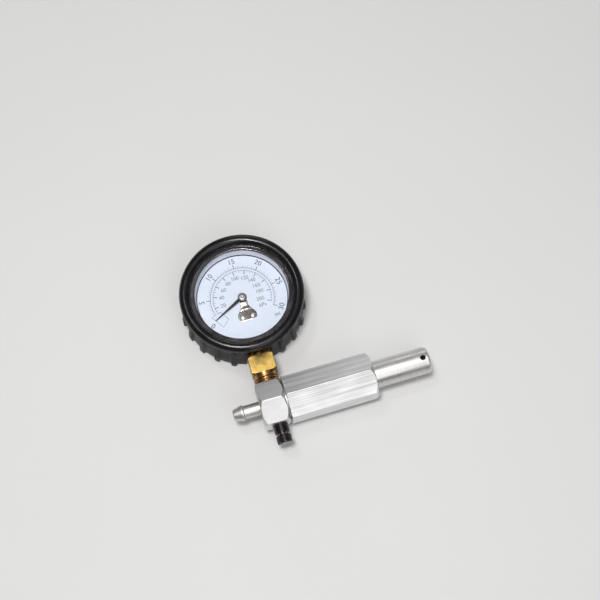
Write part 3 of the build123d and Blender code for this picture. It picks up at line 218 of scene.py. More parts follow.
def frame_spindles() -> tuple[Spindle, Spindle, Spindle]:
    """The pump's line, the stem's line and the dial's line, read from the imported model."""
    barrel_low, barrel_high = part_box("pump_barrel")
    dial_low, dial_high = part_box("dial_plate")
    stem_x = middle(dial_low.x, dial_high.x)
    pump_z = middle(barrel_low.z, barrel_high.z)
    crossing = (stem_x, middle(barrel_low.y, barrel_high.y), pump_z)
    dial_middle = (stem_x, middle(dial_low.y, dial_high.y), pump_z)
    pump = Spindle(crossing, (1, 0, 0), (0, 1, 0))
    stem = Spindle(crossing, (0, 1, 0), (0, 0, 1))
    return pump, stem, Spindle(dial_middle, (0, 0, 1), (1, 0, 0))


PUMP, STEM, HEAD = frame_spindles()


@dataclass(frozen=True)
class Polygon:
    """A regular polygon with rounded corners, as a distance from its axis at each angle.

    Seen from the nearest corner, the ray meets the corner's small circle while it is inside the
    arc, and the flat beyond it.
    """

    sides: int
    flats: float
    corner_round: float
    first_corner: float

    @property
    def half_step(self) -> float:
        """Half the angle between two corners."""
        return math.pi / self.sides

    @property
    def circle_at(self) -> float:
        """Distance of the corner circles' centres from the axis."""
        return (self.flats / 2 - self.corner_round) / math.cos(self.half_step)

    @property
    def arc_end(self) -> float:
        """Angle from a corner at which its small circle runs into the flat."""
        across = self.corner_round * math.sin(self.half_step)
        return math.atan2(across, self.circle_at + self.corner_round * math.cos(self.half_step))

    def angles(self, per_flat: int = 18, per_corner: int = 7) -> np.ndarray:
        """Angles round the polygon, closer together in the corners, closed at the end."""
        corner = np.linspace(-self.arc_end, self.arc_end, per_corner)
        flat = np.linspace(self.arc_end, 2 * self.half_step - self.arc_end, per_flat + 2)[1:-1]
        starts = self.first_corner + 2 * self.half_step * np.arange(self.sides)
        turn = (starts[:, None] + np.concatenate([corner, flat])).ravel()
        return np.append(turn, turn[0] + FULL_TURN)

    def radius(self, angles: np.ndarray) -> np.ndarray:
        """Distance from the axis to the outline at each angle."""
        step = 2 * self.half_step
        from_corner = np.abs((angles - self.first_corner + self.half_step) % step - self.half_step)
        on_flat = self.flats / 2 / np.cos(self.half_step - from_corner)
        reach = self.corner_round**2 - (self.circle_at * np.sin(from_corner)) ** 2
        on_circle = self.circle_at * np.cos(from_corner) + np.sqrt(np.maximum(reach, 0))
        return np.where(from_corner < self.arc_end, on_circle, on_flat)

    def bar(self, spindle: Spindle, before: list[Corner], ends: Corner, cones: Corner,
            after: list[Corner], edge: float, slope: float = 1.0) -> np.ndarray:
        """A bar of this outline whose end corners a lathe has turned off, and the rest of its line.

        Args:
            spindle: The line that the bar lies along.
            before: Corner points of the line ahead of the bar's first end.
            ends: Where the two end faces are.
            cones: How far each end's cone starts inside the sharp corner radius.
            after: Corner points beyond the bar's last end.
            edge: How far each edge is softened.
            slope: How far the cones run along the bar for each millimetre of radius.

        Returns:
            Points in metres, (angles, n, 3).
        """
        angles = self.angles()
        radius = self.radius(angles)
        sharp = self.flats / 2 / math.cos(self.half_step)
        corners = [same_for_all(before, len(angles))]
        for at, depth, inward in zip(ends, cones, (1, -1)):
            face_radius = np.minimum(radius, sharp - depth)
            run = slope * (radius - face_radius)
            face = np.stack([np.full_like(run, at), face_radius], axis=-1)
            crease = np.stack([at + inward * run, radius], axis=-1)
            corners.append(np.stack([face, crease], axis=-2)[:, ::inward])
        corners.append(same_for_all(after, len(angles)))
        return spindle.turn(soften(np.concatenate(corners, axis=1), edge), angles)


class Shell:
    """Grids of points gathered into one closed mesh."""

    def __init__(self) -> None:
        """Starts with nothing."""
        self.points: list[np.ndarray] = []
        self.faces: list[list[int]] = []
        self.paints: list[int] = []
        self.count = 0

    def add(self, points: np.ndarray, faces: list[list[int]], paint: int = 0) -> "Shell":
        """Adds points with faces that count them from zero, in one of the piece's materials."""
        self.points.append(points.reshape(-1, 3))
        self.faces += [[self.count + corner for corner in face] for face in faces]
        self.paints += [paint] * len(faces)
        self.count += len(self.points[-1])
        return self

    def grid(self, points: np.ndarray, paint: int = 0) -> "Shell":
        """Adds a grid of points, rows by columns, with a four-sided face in each cell."""
        rows, columns = points.shape[:2]
        index = np.arange(rows * columns).reshape(rows, columns)
        cells = np.stack([index[:-1, :-1], index[1:, :-1], index[1:, 1:], index[:-1, 1:]], axis=-1)
        return self.add(points, cells.reshape(-1, 4).tolist(), paint)

    def bars(self, corners: np.ndarray, paint: int = 0) -> "Shell":
        """Adds six-sided bars, (n, 8, 3): four corners of one end, then the four opposite."""
        sides = np.array([[0, 3, 2, 1], [4, 5, 6, 7], [0, 1, 5, 4], [1, 2, 6, 5], [2, 3, 7, 6], [3, 0, 4, 7]])
        starts = 8 * np.arange(len(corners))
        return self.add(corners, (starts[:, None, None] + sides).reshape(-1, 4).tolist(), paint)

    def mesh(self, name: str) -> bpy.types.Mesh:
        """One mesh, its seams and poles merged and its faces turned outwards."""
        mesh = bpy.data.meshes.new(name)
        mesh.from_pydata(np.concatenate(self.points).tolist(), [], self.faces)
        mesh.polygons.foreach_set("material_index", self.paints)
        work = bmesh.new()
        work.from_mesh(mesh)
        bmesh.ops.remove_doubles(work, verts=work.verts, dist=MERGE_DISTANCE)
        bmesh.ops.dissolve_degenerate(work, edges=work.edges, dist=MERGE_DISTANCE)
        bmesh.ops.recalc_face_normals(work, faces=work.faces)
        work.to_mesh(mesh)
        work.free()
        return mesh


def stand(name: str, data: bpy.types.ID) -> bpy.types.Object:
    """A new object in the scene, at the origin."""
    thing = bpy.data.objects.new(name, data)
    bpy.context.scene.collection.objects.link(thing)
    return thing


def final_mesh(thing: bpy.types.Object) -> bpy.types.Mesh:
    """The mesh that an object's modifiers or letters come to."""
    graph = bpy.context.evaluated_depsgraph_get()
    return bpy.data.meshes.new_from_object(thing.evaluated_get(graph))


def contents(mesh: bpy.types.Mesh) -> tuple[np.ndarray, list[list[int]]]:
    """A mesh's points and faces, ready for a shell."""
    points = np.array([tuple(vertex.co) for vertex in mesh.vertices])
    return points, [list(face.vertices) for face in mesh.polygons]


def carve(mesh: bpy.types.Mesh, cutters: list[Shell]) -> bpy.types.Mesh:
    """Cuts closed shells out of a mesh.

    Args:
        mesh: The mesh that is cut.
        cutters: Closed shells, each taken away in turn.

    Returns:
        A new mesh without the cut parts.
    """
    body = stand("carved", mesh)
    tools = [stand("cutter", cutter.mesh("cutter")) for cutter in cutters]
    for tool in tools:
        cut = body.modifiers.new("cut", "BOOLEAN")
        cut.operation = "DIFFERENCE"
        cut.solver = "EXACT"
        cut.object = tool
    result = final_mesh(body)
    for thing in [body, *tools]:
        bpy.data.objects.remove(thing)
    return result


def turned_shell(spindle: Spindle, corners: list[Corner], width: float, turn: int = 96) -> Shell:
    """A turned piece from its (along, radius) corner points, with its edges softened."""
    profile = soften(np.array(corners, dtype=float), width)
    return Shell().grid(spindle.turn(profile, even_turn(turn)))


def rod_shell(spindle: Spindle, radius: float, start: float, end: float, turn: int = 64) -> Shell:
    """A plain closed rod, for cutting holes."""
    corners = np.array([(start, 0), (start, radius), (end, radius), (end, 0)], dtype=float)
    return Shell().grid(spindle.turn(corners, even_turn(turn)))


class Brush:
    """Short names for the nodes that a material or the world is painted with."""

    def __init__(self, owner: bpy.types.Material | bpy.types.World) -> None:
        """Empties a new material's or world's node tree."""
        owner.use_nodes = True
        self.owner = owner
        self.tree = owner.node_tree
        self.tree.nodes.clear()
        self.coordinates = self.node("TexCoord").outputs

    def node(self, kind: str, *values: object, **options: object) -> bpy.types.Node:
        """Adds a shader node, with a value or a link for each input that is given.

        Args:
            kind: Its type's name, without the start that all share.
            values: What its first inputs get, in order; None leaves one as it is.
            options: Its settings in small letters, then inputs by name, with _ for each space.

        Returns:
            The new node.
        """
        node = self.tree.nodes.new("ShaderNode" + kind)
        given = dict(enumerate(values))
        for key, value in options.items():
            if key.islower():
                setattr(node, key, value)
            else:
                given[key.replace("_", " ")] = value
        for key, value in given.items():
            socket = node.inputs[key]
            if isinstance(value, Socket):
                self.tree.links.new(value, socket)
            elif value is not None:
                socket.default_value = (*value, 1) if socket.type == "RGBA" else value
        return node

    def noise(self, scale: float, stretch: Place = (1, 1, 1), detail: float = 2.0,
              roughness: float = 0.5) -> Socket:
        """Cloudy noise on the object's own coordinates; scale is in cells a metre."""
        place = self.node("Mapping", Vector=self.coordinates["Object"], Scale=stretch).outputs[0]
        return self.node("TexNoise", Vector=place, Scale=scale, Detail=detail, Roughness=roughness).outputs[0]

    def spread(self, value: Socket, low: float, high: float, from_low: float = 0.3,
               from_high: float = 0.7) -> Socket:
        """Carries a value from one range to another, held at its ends."""
        return self.node("MapRange", value, from_low, from_high, low, high).outputs[0]

    def blend(self, share: Socket, first: Colour | Socket, second: Colour) -> Socket:
        """A colour between two, by a share that a pattern gives."""
        return self.node("Mix", data_type="RGBA", Factor=share, A=first, B=second).outputs["Result"]

    def weigh(self, value: Socket, factor: float, plus: Socket) -> Socket:
        """One pattern times a factor, added to another."""
        return self.node("Math", value, factor, plus, operation="MULTIPLY_ADD").outputs[0]

    def nearness(self, place: Place, reach: float) -> Socket:
        """1 at a place, falling to 0 at a ragged distance of about the reach, in metres."""
        away = self.node("VectorMath", self.coordinates["Object"], place, operation="DISTANCE")
        ragged = self.weigh(self.noise(1.5 / reach, detail=4.0), reach, away.outputs["Value"])
        return self.spread(ragged, 1.0, 0.0, 0.6 * reach, 1.7 * reach)

    def bump(self, height: Socket, depth: float, under: Socket | None = None) -> Socket:
        """Relief from a height pattern, over another relief; depth is in metres."""
        return self.node("Bump", Height=height, Distance=depth, Strength=1.0, Normal=under).outputs[0]

    def done(self, shader: bpy.types.Node, output: str = "OutputMaterial") -> bpy.types.ID:
        """Connects the shader to the output and gives the material or world back."""
        self.node(output, Surface=shader.outputs[0])
        return self.owner


def shade(colour: Colour, factor: float) -> Colour:
    """A colour made lighter or darker."""
    return tuple(min(1.0, channel * factor) for channel in colour)


@dataclass(frozen=True)
class Metal:
    """Bare, plated or drawn metal with tool marks that run one way and a faint cloudy tone."""

    name: str
    colour: Colour
    roughness: float
    grain: Grain = Grain.EVEN
    marks: float = 2600.0
    relief: float = 4e-6
    contrast: float = 0.12
    rough_spread: float = 0.12
    cloud: float = 90.0
    waves: float = 0.0
    patina: Colour | None = None
    # painted shadow: where the colour is darkened (place and reach), and how much of the colour is left there
    scorch: tuple[Place, float] | None = None
    scorched: float = 0.09
    line_limits: tuple[float, float] = (0.55, 0.95)
    blot_limits: tuple[float, float] = (0.48, 0.68)

    def material(self) -> bpy.types.Material:
        """Lines and clouds drive the tone and the roughness, and the lines also the relief."""
        brush = Brush(bpy.data.materials.new(self.name))
        fine = brush.noise(self.marks, self.grain.value, 3.0, 0.62)
        coarse = brush.noise(self.marks / 5, self.grain.value)
        clouds = brush.noise(self.cloud, detail=3.0)
        shares = brush.spread(brush.weigh(coarse, 0.5, fine), 0.0, 1.0, *self.line_limits)
        dark, light = shade(self.colour, 1 - self.contrast), shade(self.colour, 1 + self.contrast / 2)
        tone = brush.blend(shares, dark, light)
        if self.patina is not None:
            blots = brush.noise(4 * self.cloud, detail=5.0, roughness=0.6)
            tone = brush.blend(brush.spread(blots, 0.0, 0.8, *self.blot_limits), tone, self.patina)
        # painted shadow: the colour is darkened near one place, standing for shade cast there
        if self.scorch is not None:
            tone = brush.blend(brush.nearness(*self.scorch), tone, shade(self.colour, self.scorched))
        worn = brush.spread(clouds, self.roughness, self.roughness + self.rough_spread)
        waves = brush.bump(brush.noise(2 * self.cloud, detail=1.0), self.waves)
        return brush.done(brush.node("BsdfPrincipled", Base_Color=tone, Metallic=1.0, Roughness=worn,
                                     Normal=brush.bump(fine, self.relief, waves)))


@dataclass(frozen=True)
class Rubber:
    """Moulded rubber: near black, a soft gloss with dull patches and a fine moulded skin."""

    name: str
    colour: Colour
    roughness: float
    skin: float = 5e-6
    specular: float = 0.5
    cloud: float = 120.0
    pit: float = 4200.0
    wave: float = 420.0
    tones: tuple[float, float] = (0.7, 1.5)
    rough_spread: float = 0.14

    def material(self) -> bpy.types.Material:
        """Clouds drive gloss and tone; two sizes of fine pits give the relief."""
        brush = Brush(bpy.data.materials.new(self.name))
        clouds = brush.noise(self.cloud, detail=4.0)
        pits, waves = brush.noise(self.pit), brush.noise(self.wave)
        dark, light = (shade(self.colour, factor) for factor in self.tones)
        tone = brush.blend(brush.spread(clouds, 0, 1), dark, light)
        gloss = brush.spread(clouds, self.roughness, self.roughness + self.rough_spread)
        relief = brush.bump(waves, 4 * self.skin, brush.bump(pits, self.skin))
        return brush.done(brush.node("BsdfPrincipled", Base_Color=tone, Roughness=gloss, Normal=relief,
                                     Specular_IOR_Level=self.specular))


@dataclass(frozen=True)
class Enamel:
    """Paint, print or moulded plastic: one colour with a faint tint drift and orange-peel."""

    name: str
    colour: Colour
    roughness: float
    drift: float = 0.04
    peel: float = 2e-6
    peel_scale: float = 700.0
    coat: float = 0.0
    cloud: float = 60.0
    gloss_range: tuple[float, float] = (0.85, 1.2)

    def material(self) -> bpy.types.Material:
        """Slow clouds drift the tint, a finer pattern moves the gloss and lifts the skin."""
        brush = Brush(bpy.data.materials.new(self.name))
        clouds = brush.noise(self.cloud, detail=3.0)
        peel = brush.noise(self.peel_scale)
        dark, light = shade(self.colour, 1 - self.drift), shade(self.colour, 1 + self.drift)
        gloss = brush.spread(peel, *(self.roughness * factor for factor in self.gloss_range))
        tone = brush.blend(brush.spread(clouds, 0, 1), dark, light)
        return brush.done(brush.node("BsdfPrincipled", Base_Color=tone, Roughness=gloss,
                                     Normal=brush.bump(peel, self.peel), Coat_Weight=self.coat))


@dataclass(frozen=True)
class ClearLens:
    """Thin clear lens: mostly seen through, with a reflection that grows towards its edge."""

    name: str
    tint: Colour = (0.97, 0.985, 1.0)
    index: float = 1.42
    cloud: float = 140.0
    smudge: tuple[float, float] = (0.015, 0.07)

    def material(self) -> bpy.types.Material:
        """A Fresnel share, on outer faces only, picks between passing light on and reflecting it."""
        brush = Brush(bpy.data.materials.new(self.name))
        inside = brush.node("NewGeometry").outputs["Backfacing"]
        share = brush.node("Fresnel", IOR=brush.spread(inside, self.index, 1.0, 0.0, 1.0)).outputs[0]
        smudge = brush.spread(brush.noise(self.cloud, detail=4.0), *self.smudge)
        clear = brush.node("BsdfTransparent", Color=self.tint).outputs[0]
        mirror = brush.node("BsdfGlossy", Roughness=smudge).outputs[0]
        return brush.done(brush.node("MixShader", share, clear, mirror))


# painted shadow on the brass: a darker patch at the top of the square's end, where the boot's lip and the
# stem's neck shade it
PAINTED_LIP_SHADOW = ((STEM.origin[0], STEM.origin[1] + 25.6 * MM, STEM.origin[2] + 6.6 * MM), 5.0 * MM)
FINISHES = {finish.name: finish for finish in (
    Metal("drawn_aluminium", (0.83, 0.82, 0.83), 0.38, Grain.DRAWN_ALONG_X, 2100, 6e-6, 0.34),
    Metal("satin_aluminium", (0.82, 0.81, 0.82), 0.40, Grain.BRUSHED_ALONG_X, 3000, 2.5e-6, 0.09),
    Metal("turned_aluminium", (0.69, 0.68, 0.66), 0.33, Grain.TURNED_ABOUT_X, 4200, 2e-6, 0.10),
    Metal("dark_nickel", (0.085, 0.075, 0.08), 0.10, Grain.TURNED_ABOUT_Y, 3200, 1.5e-6, 0.25, 0.05),
    Metal("brass", (0.47, 0.32, 0.095), 0.28, Grain.EVEN, 1500, 4e-6, 0.24, waves=1.2e-4,
          patina=(0.30, 0.185, 0.05), scorch=PAINTED_LIP_SHADOW),
    Metal("thread_brass", (0.46, 0.26, 0.10), 0.22, Grain.TURNED_ABOUT_Y, 2400, 3e-6, 0.30,
          patina=(0.16, 0.09, 0.04)),
    Metal("bronze", (0.62, 0.38, 0.20), 0.28, Grain.EVEN, 900, 2e-6, 0.15),
    Metal("steel", (0.55, 0.55, 0.56), 0.28, Grain.EVEN, 1600, 2e-6, 0.12),
    Metal("chrome", (0.46, 0.40, 0.36), 0.15, Grain.EVEN, 700, 4e-6, 0.20, waves=1.2e-4,
          patina=(0.30, 0.23, 0.19)),
    Metal("bright_steel", (0.86, 0.83, 0.80), 0.30, Grain.EVEN, 1500, 2e-6, 0.10),
    Metal("hub_steel", (0.40, 0.35, 0.35), 0.40, Grain.EVEN, 1200, 3e-6, 0.25),
    Metal("dark_chrome", (0.21, 0.195, 0.20), 0.09, Grain.TURNED_ABOUT_Z, 2600, 8e-6, 0.45, waves=6e-5),
    Enamel("painted_steel", (0.012, 0.012, 0.014), 0.22, 0.3, coat=0.3),
    Enamel("white_plastic", (0.78, 0.79, 0.86), 0.38),
    Enamel("dial_white", (0.80, 0.82, 0.895), 0.42, 0.015),
    Enamel("ink", (0.045, 0.05, 0.07), 0.45, 0.2),
    Enamel("pale_ink", (0.145, 0.155, 0.19), 0.45, 0.1),
    Enamel("pointer_black", (0.008, 0.008, 0.012), 0.28, 0.3),
    Rubber("boot_rubber", (0.005, 0.005, 0.006), 0.16, 2.5e-6, 0.38),
    Rubber("boot_wall", (0.005, 0.005, 0.006), 0.30, 8e-6, 0.13),
    Rubber("rubber", (0.015, 0.015, 0.016), 0.45),
    ClearLens("clear_lens"),
)}


@cache
def paint(name: str) -> bpy.types.Material:
    """The material of a named finish, made when a piece first asks for it."""
    return FINISHES[name].material()


def put(name: str, shape: bpy.types.Mesh | Shell, finishes: str | tuple[str, ...], slot: str,
        *stands_for: str, body: Body = Body.GAUGE, sharp: float = SHARP_ANGLE) -> None:
    """Puts a finished shape into the scene as a piece of the object.

    Args:
        name: The piece's name.
        shape: Its mesh, or the shell that becomes its mesh, in place, in metres.
        finishes: The finish, or one for each paint number of the mesh.
        slot: The record's material slot; it is not used.
        stands_for: The solids that it is shown instead of.
        body: The body that it rides on.
        sharp: Faces that meet at more than this angle keep a crisp edge.
    """
    mesh = shape.mesh(name) if isinstance(shape, Shell) else shape
    names = (finishes,) if isinstance(finishes, str) else finishes
    paints = np.zeros(len(mesh.polygons), dtype=np.int32)
    mesh.polygons.foreach_get("material_index", paints)
    mesh.name = name
    mesh.materials.clear()
    for finish in names:
        mesh.materials.append(paint(finish))
    mesh.polygons.foreach_set("material_index", np.minimum(paints, len(names) - 1))
    mesh.polygons.foreach_set("use_smooth", [True] * len(mesh.polygons))
    mesh.set_sharp_from_angle(angle=sharp)
    piece = stand(name, mesh)
    weighted = piece.modifiers.new("even_shading", "WEIGHTED_NORMAL")
    weighted.keep_sharp = True
    weighted.weight = NORMAL_WEIGHT
    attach(piece, body.value)
    if stands_for:
        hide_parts(*stands_for)
    log.info("%s: %d faces, rides on %s", name, len(mesh.polygons), body.value)


def paint_faces(mesh: bpy.types.Mesh, second: list[bool]) -> bpy.types.Mesh:
    """Gives some of a mesh's faces its second paint and the rest the first."""
    mesh.polygons.foreach_set("material_index", np.array(second, dtype=np.int32))
    return mesh


def paint_ends(mesh: bpy.types.Mesh) -> bpy.types.Mesh:
    """Gives the turned ends of a bar that lies along X the second paint."""
    return paint_faces(mesh, [abs(face.normal.x) > END_TILT for face in mesh.polygons])


@dataclass(frozen=True)
class HexagonBlock:
    """The hexagon valve block: machined flats, turned end corners, a neck and a spigot."""

    flats: float = 22.2
    corner_round: float = 0.25
    left: float = -7.5
    right: float = 6.0
    cones: Corner = (1.6, 1.9)
    neck_radius: float = 8.8
    spigot_radius: float = 8.2
    spigot_start: float = 6.7
    spigot_end: float = 14.5
    stem_port: Corner = (6.6, 3.5)
    small_port: float = 3.02
    barb_port_end: float = -2.0
    valve_port_end: float = -3.3
    seat_port: Corner = (3.22, 10.0)
    edge: float = 0.16

    def build(self) -> None:
        """Turns and mills the block, drills its ports and dresses it."""
        spigot = [
            (self.right, self.neck_radius), (self.spigot_start, self.neck_radius),
            (self.spigot_start, self.spigot_radius), (self.spigot_end, self.spigot_radius),
            (self.spigot_end, 0),
        ]
        hexagon = Polygon(6, self.flats, self.corner_round, math.radians(30))
        points = hexagon.bar(PUMP, [(self.left, 0)], (self.left, self.right), self.cones, spigot, self.edge)
        reach = self.flats
        mesh = carve(Shell().grid(points).mesh("valve_block_body"), [
            rod_shell(STEM, *self.stem_port, reach),
            rod_shell(STEM, self.small_port, -reach, self.valve_port_end),
            rod_shell(PUMP, self.small_port, -reach, self.barb_port_end),
            rod_shell(PUMP, *self.seat_port, reach),
        ])
        put("valve_block_body", paint_ends(mesh), ("satin_aluminium", "turned_aluminium"), "satin_aluminium",
            "valve_block")


@dataclass(frozen=True)
class HexagonBarrel:
    """The pump barrel: drawn hexagon bar, bored right through, with turned end corners."""

    flats: float = 22.2
    corner_round: float = 0.3
    start: float = 6.7
    end: float = 53.0
    cones: Corner = (0.4, 1.7)
    socket: float = 8.22
    socket_end: float = 14.5
    bore: float = 7.8
    guide: float = 7.06
    guide_start: float = 47.9
    edge: float = 0.16

    def build(self) -> None:
        """One closed line, out over the flats and back through the bore, carried round."""
        seam = (middle(self.start, self.socket_end), self.socket)
        inside = [
            (self.end, self.guide), (self.guide_start, self.guide), (self.guide_start, self.bore),
            (self.socket_end, self.bore), (self.socket_end, self.socket), seam,
        ]
        hexagon = Polygon(6, self.flats, self.corner_round, math.radians(30))
        points = hexagon.bar(PUMP, [seam, (self.start, self.socket)], (self.start, self.end), self.cones,
                             inside, self.edge)
        put("pump_barrel_body", paint_ends(Shell().grid(points).mesh("pump_barrel_body")),
            ("drawn_aluminium", "turned_aluminium"), "drawn_aluminium", "pump_barrel")


@dataclass(frozen=True)
class Plunger:
    """The turned plunger tube with its closed end and the drilled intake hole."""

    radius: float = 7.0
    inner: float = 5.2
    start: float = 47.28
    end: float = 83.2
    end_wall: float = 2.4
    chamfer: float = 0.9
    hole_radius: float = 1.32
    hole_from_end: float = 3.6
    countersink: float = 0.3
    edge: float = 0.25
    turn: int = 144
    hole_turn: int = 48

    def build(self) -> None:
        """Turns the tube as one closed line and drills it across."""
        seam = (middle(self.start, self.end), self.inner)
        floor = self.end - self.end_wall
        outside = [
            seam, (self.start, self.inner), (self.start, self.radius),
            (self.end - self.chamfer, self.radius), (self.end, self.radius - self.chamfer), (self.end, 0),
        ]
        shell = Shell()
        for corners in (outside, [(floor, 0), (floor, self.inner), seam]):
            shell.grid(PUMP.turn(soften(np.array(corners, dtype=float), self.edge), even_turn(self.turn)))
        at_hole = np.array(PUMP.origin) + np.array(PUMP.along) * (self.end - self.hole_from_end) * MM
        wide = self.hole_radius + 2 * self.countersink
        mouth, throat = self.radius + self.countersink, self.radius - self.countersink
        line = np.array([(-mouth, 0), (-mouth, wide), (-throat, self.hole_radius), (throat, self.hole_radius),
                         (mouth, wide), (mouth, 0)])
        across = Spindle(tuple(at_hole), HEAD.along, HEAD.across)
        drill = Shell().grid(across.turn(line, even_turn(self.hole_turn)))
        put("plunger_sleeve", carve(shell.mesh("plunger_sleeve"), [drill]), "turned_aluminium",
            "turned_aluminium", "plunger_tube", body=Body.PLUNGER)


@dataclass(frozen=True)
class HoseBarb:
    """The turned hose barb with a tapered head, a short land and a step down to the shaft."""

    shaft_start: float = -7.5
    shaft_radius: float = 3.45
    shaft_end: float = -15.8
    back_slope: float = 0.5
    land: float = 0.6
    head_radius: float = 4.12
    tip: float = -21.5
    tip_radius: float = 2.85
    tip_edge: float = 0.3
    bore: float = 1.5
    stub_radius: float = 3.0
    stub_end: float = -2.0
    edge: float = 0.14

    def build(self) -> None:
        """One closed line from the bore round the outside and back."""
        head = self.shaft_end - self.back_slope
        seam = (middle(self.tip, self.stub_end), self.bore)
        corners = [
            seam, (self.stub_end, self.bore), (self.stub_end, self.stub_radius),
            (self.shaft_start, self.stub_radius), (self.shaft_start, self.shaft_radius),
            (self.shaft_end, self.shaft_radius), (head, self.head_radius),
            (head - self.land, self.head_radius), (self.tip + self.tip_edge, self.tip_radius),
            (self.tip, self.tip_radius - self.tip_edge), (self.tip, self.bore), seam,
        ]
        put("hose_barb_body", turned_shell(PUMP, corners, self.edge), "turned_aluminium",
            "turned_aluminium", "hose_barb")


@dataclass(frozen=True)
class BleedValve:
    """The push-button bleed valve: a plain round housing and a gripped cap."""

    radius: float = 3.95
    top: float = -11.1
    housing_end: float = -16.0
    rim: float = 0.35
    stub_radius: float = 3.0
    stub_end: float = -6.1
    bore: float = 1.3
    pocket: float = 2.52
    housing_pocket: float = 1.4
    cap_top: float = -17.1
    cap_end: float = -21.3
    cap_rim: float = 0.6
    cap_pocket: float = 1.6
    stem_hole: float = 0.82
    stem_grip: float = 1.0
    grips: int = 12
    grip_width: float = 0.9
    grip_depth: float = 0.18
    grip_flank: float = 3.0
    samples_per_grip: int = 16
    edge: float = 0.13

    def housing(self) -> None:
        """The housing with its bored-out lower end."""
        seam = (middle(self.top, self.housing_end), self.bore)
        floor = self.housing_end + self.housing_pocket
        corners = [
            seam, (self.stub_end, self.bore), (self.stub_end, self.stub_radius), (self.top, self.stub_radius),
            (self.top, self.radius), (self.housing_end + self.rim, self.radius),
            (self.housing_end, self.radius - self.rim), (self.housing_end, self.pocket), (floor, self.pocket),
            (floor, self.bore), seam,
        ]
        put("bleed_valve_housing", turned_shell(STEM, corners, self.edge), "dark_nickel", "dark_nickel",
            "valve_housing")

    def cap(self) -> None:
        """The cap: the outer line dips into a shallow flute at each grip, and a bore takes the stem."""
        half_rim = self.cap_rim / 2
        floor = self.cap_top - self.cap_pocket
        corners = [
            (floor - self.stem_grip, 0), (floor - self.stem_grip, self.stem_hole), (floor, self.stem_hole),
            (floor, self.pocket), (self.cap_top, self.pocket), (self.cap_top, self.radius - half_rim),
            (self.cap_top - half_rim, self.radius), (self.cap_end + self.cap_rim, self.radius),
            (self.cap_end, self.radius - self.cap_rim), (self.cap_end, 0),
        ]
        profile = soften(np.array(corners, dtype=float), self.edge)
        angles = even_turn(self.grips * self.samples_per_grip)
        step = FULL_TURN / self.grips
        from_grip = np.abs((angles + step / 2) % step - step / 2) * self.radius
        flute = np.clip(1 - (2 * from_grip / self.grip_width - 1) * self.grip_flank, 0, 1)
        on_side = (profile[:, 1] > self.radius - half_rim) & (profile[:, 0] < self.cap_top - half_rim)
        on_side &= profile[:, 0] > self.cap_end + half_rim
        lines = same_for_all(profile, len(angles)).copy()
        lines[..., 1] -= self.grip_depth * flute[:, None] * on_side
        put("bleed_button_cap", Shell().grid(STEM.turn(lines, angles)), "dark_nickel", "dark_nickel",
            "button_cap", body=Body.BUTTON, sharp=SOFT_ANGLE)

    def build(self) -> None:
        """Both pieces of the valve that show."""
        self.housing()
        self.cap()


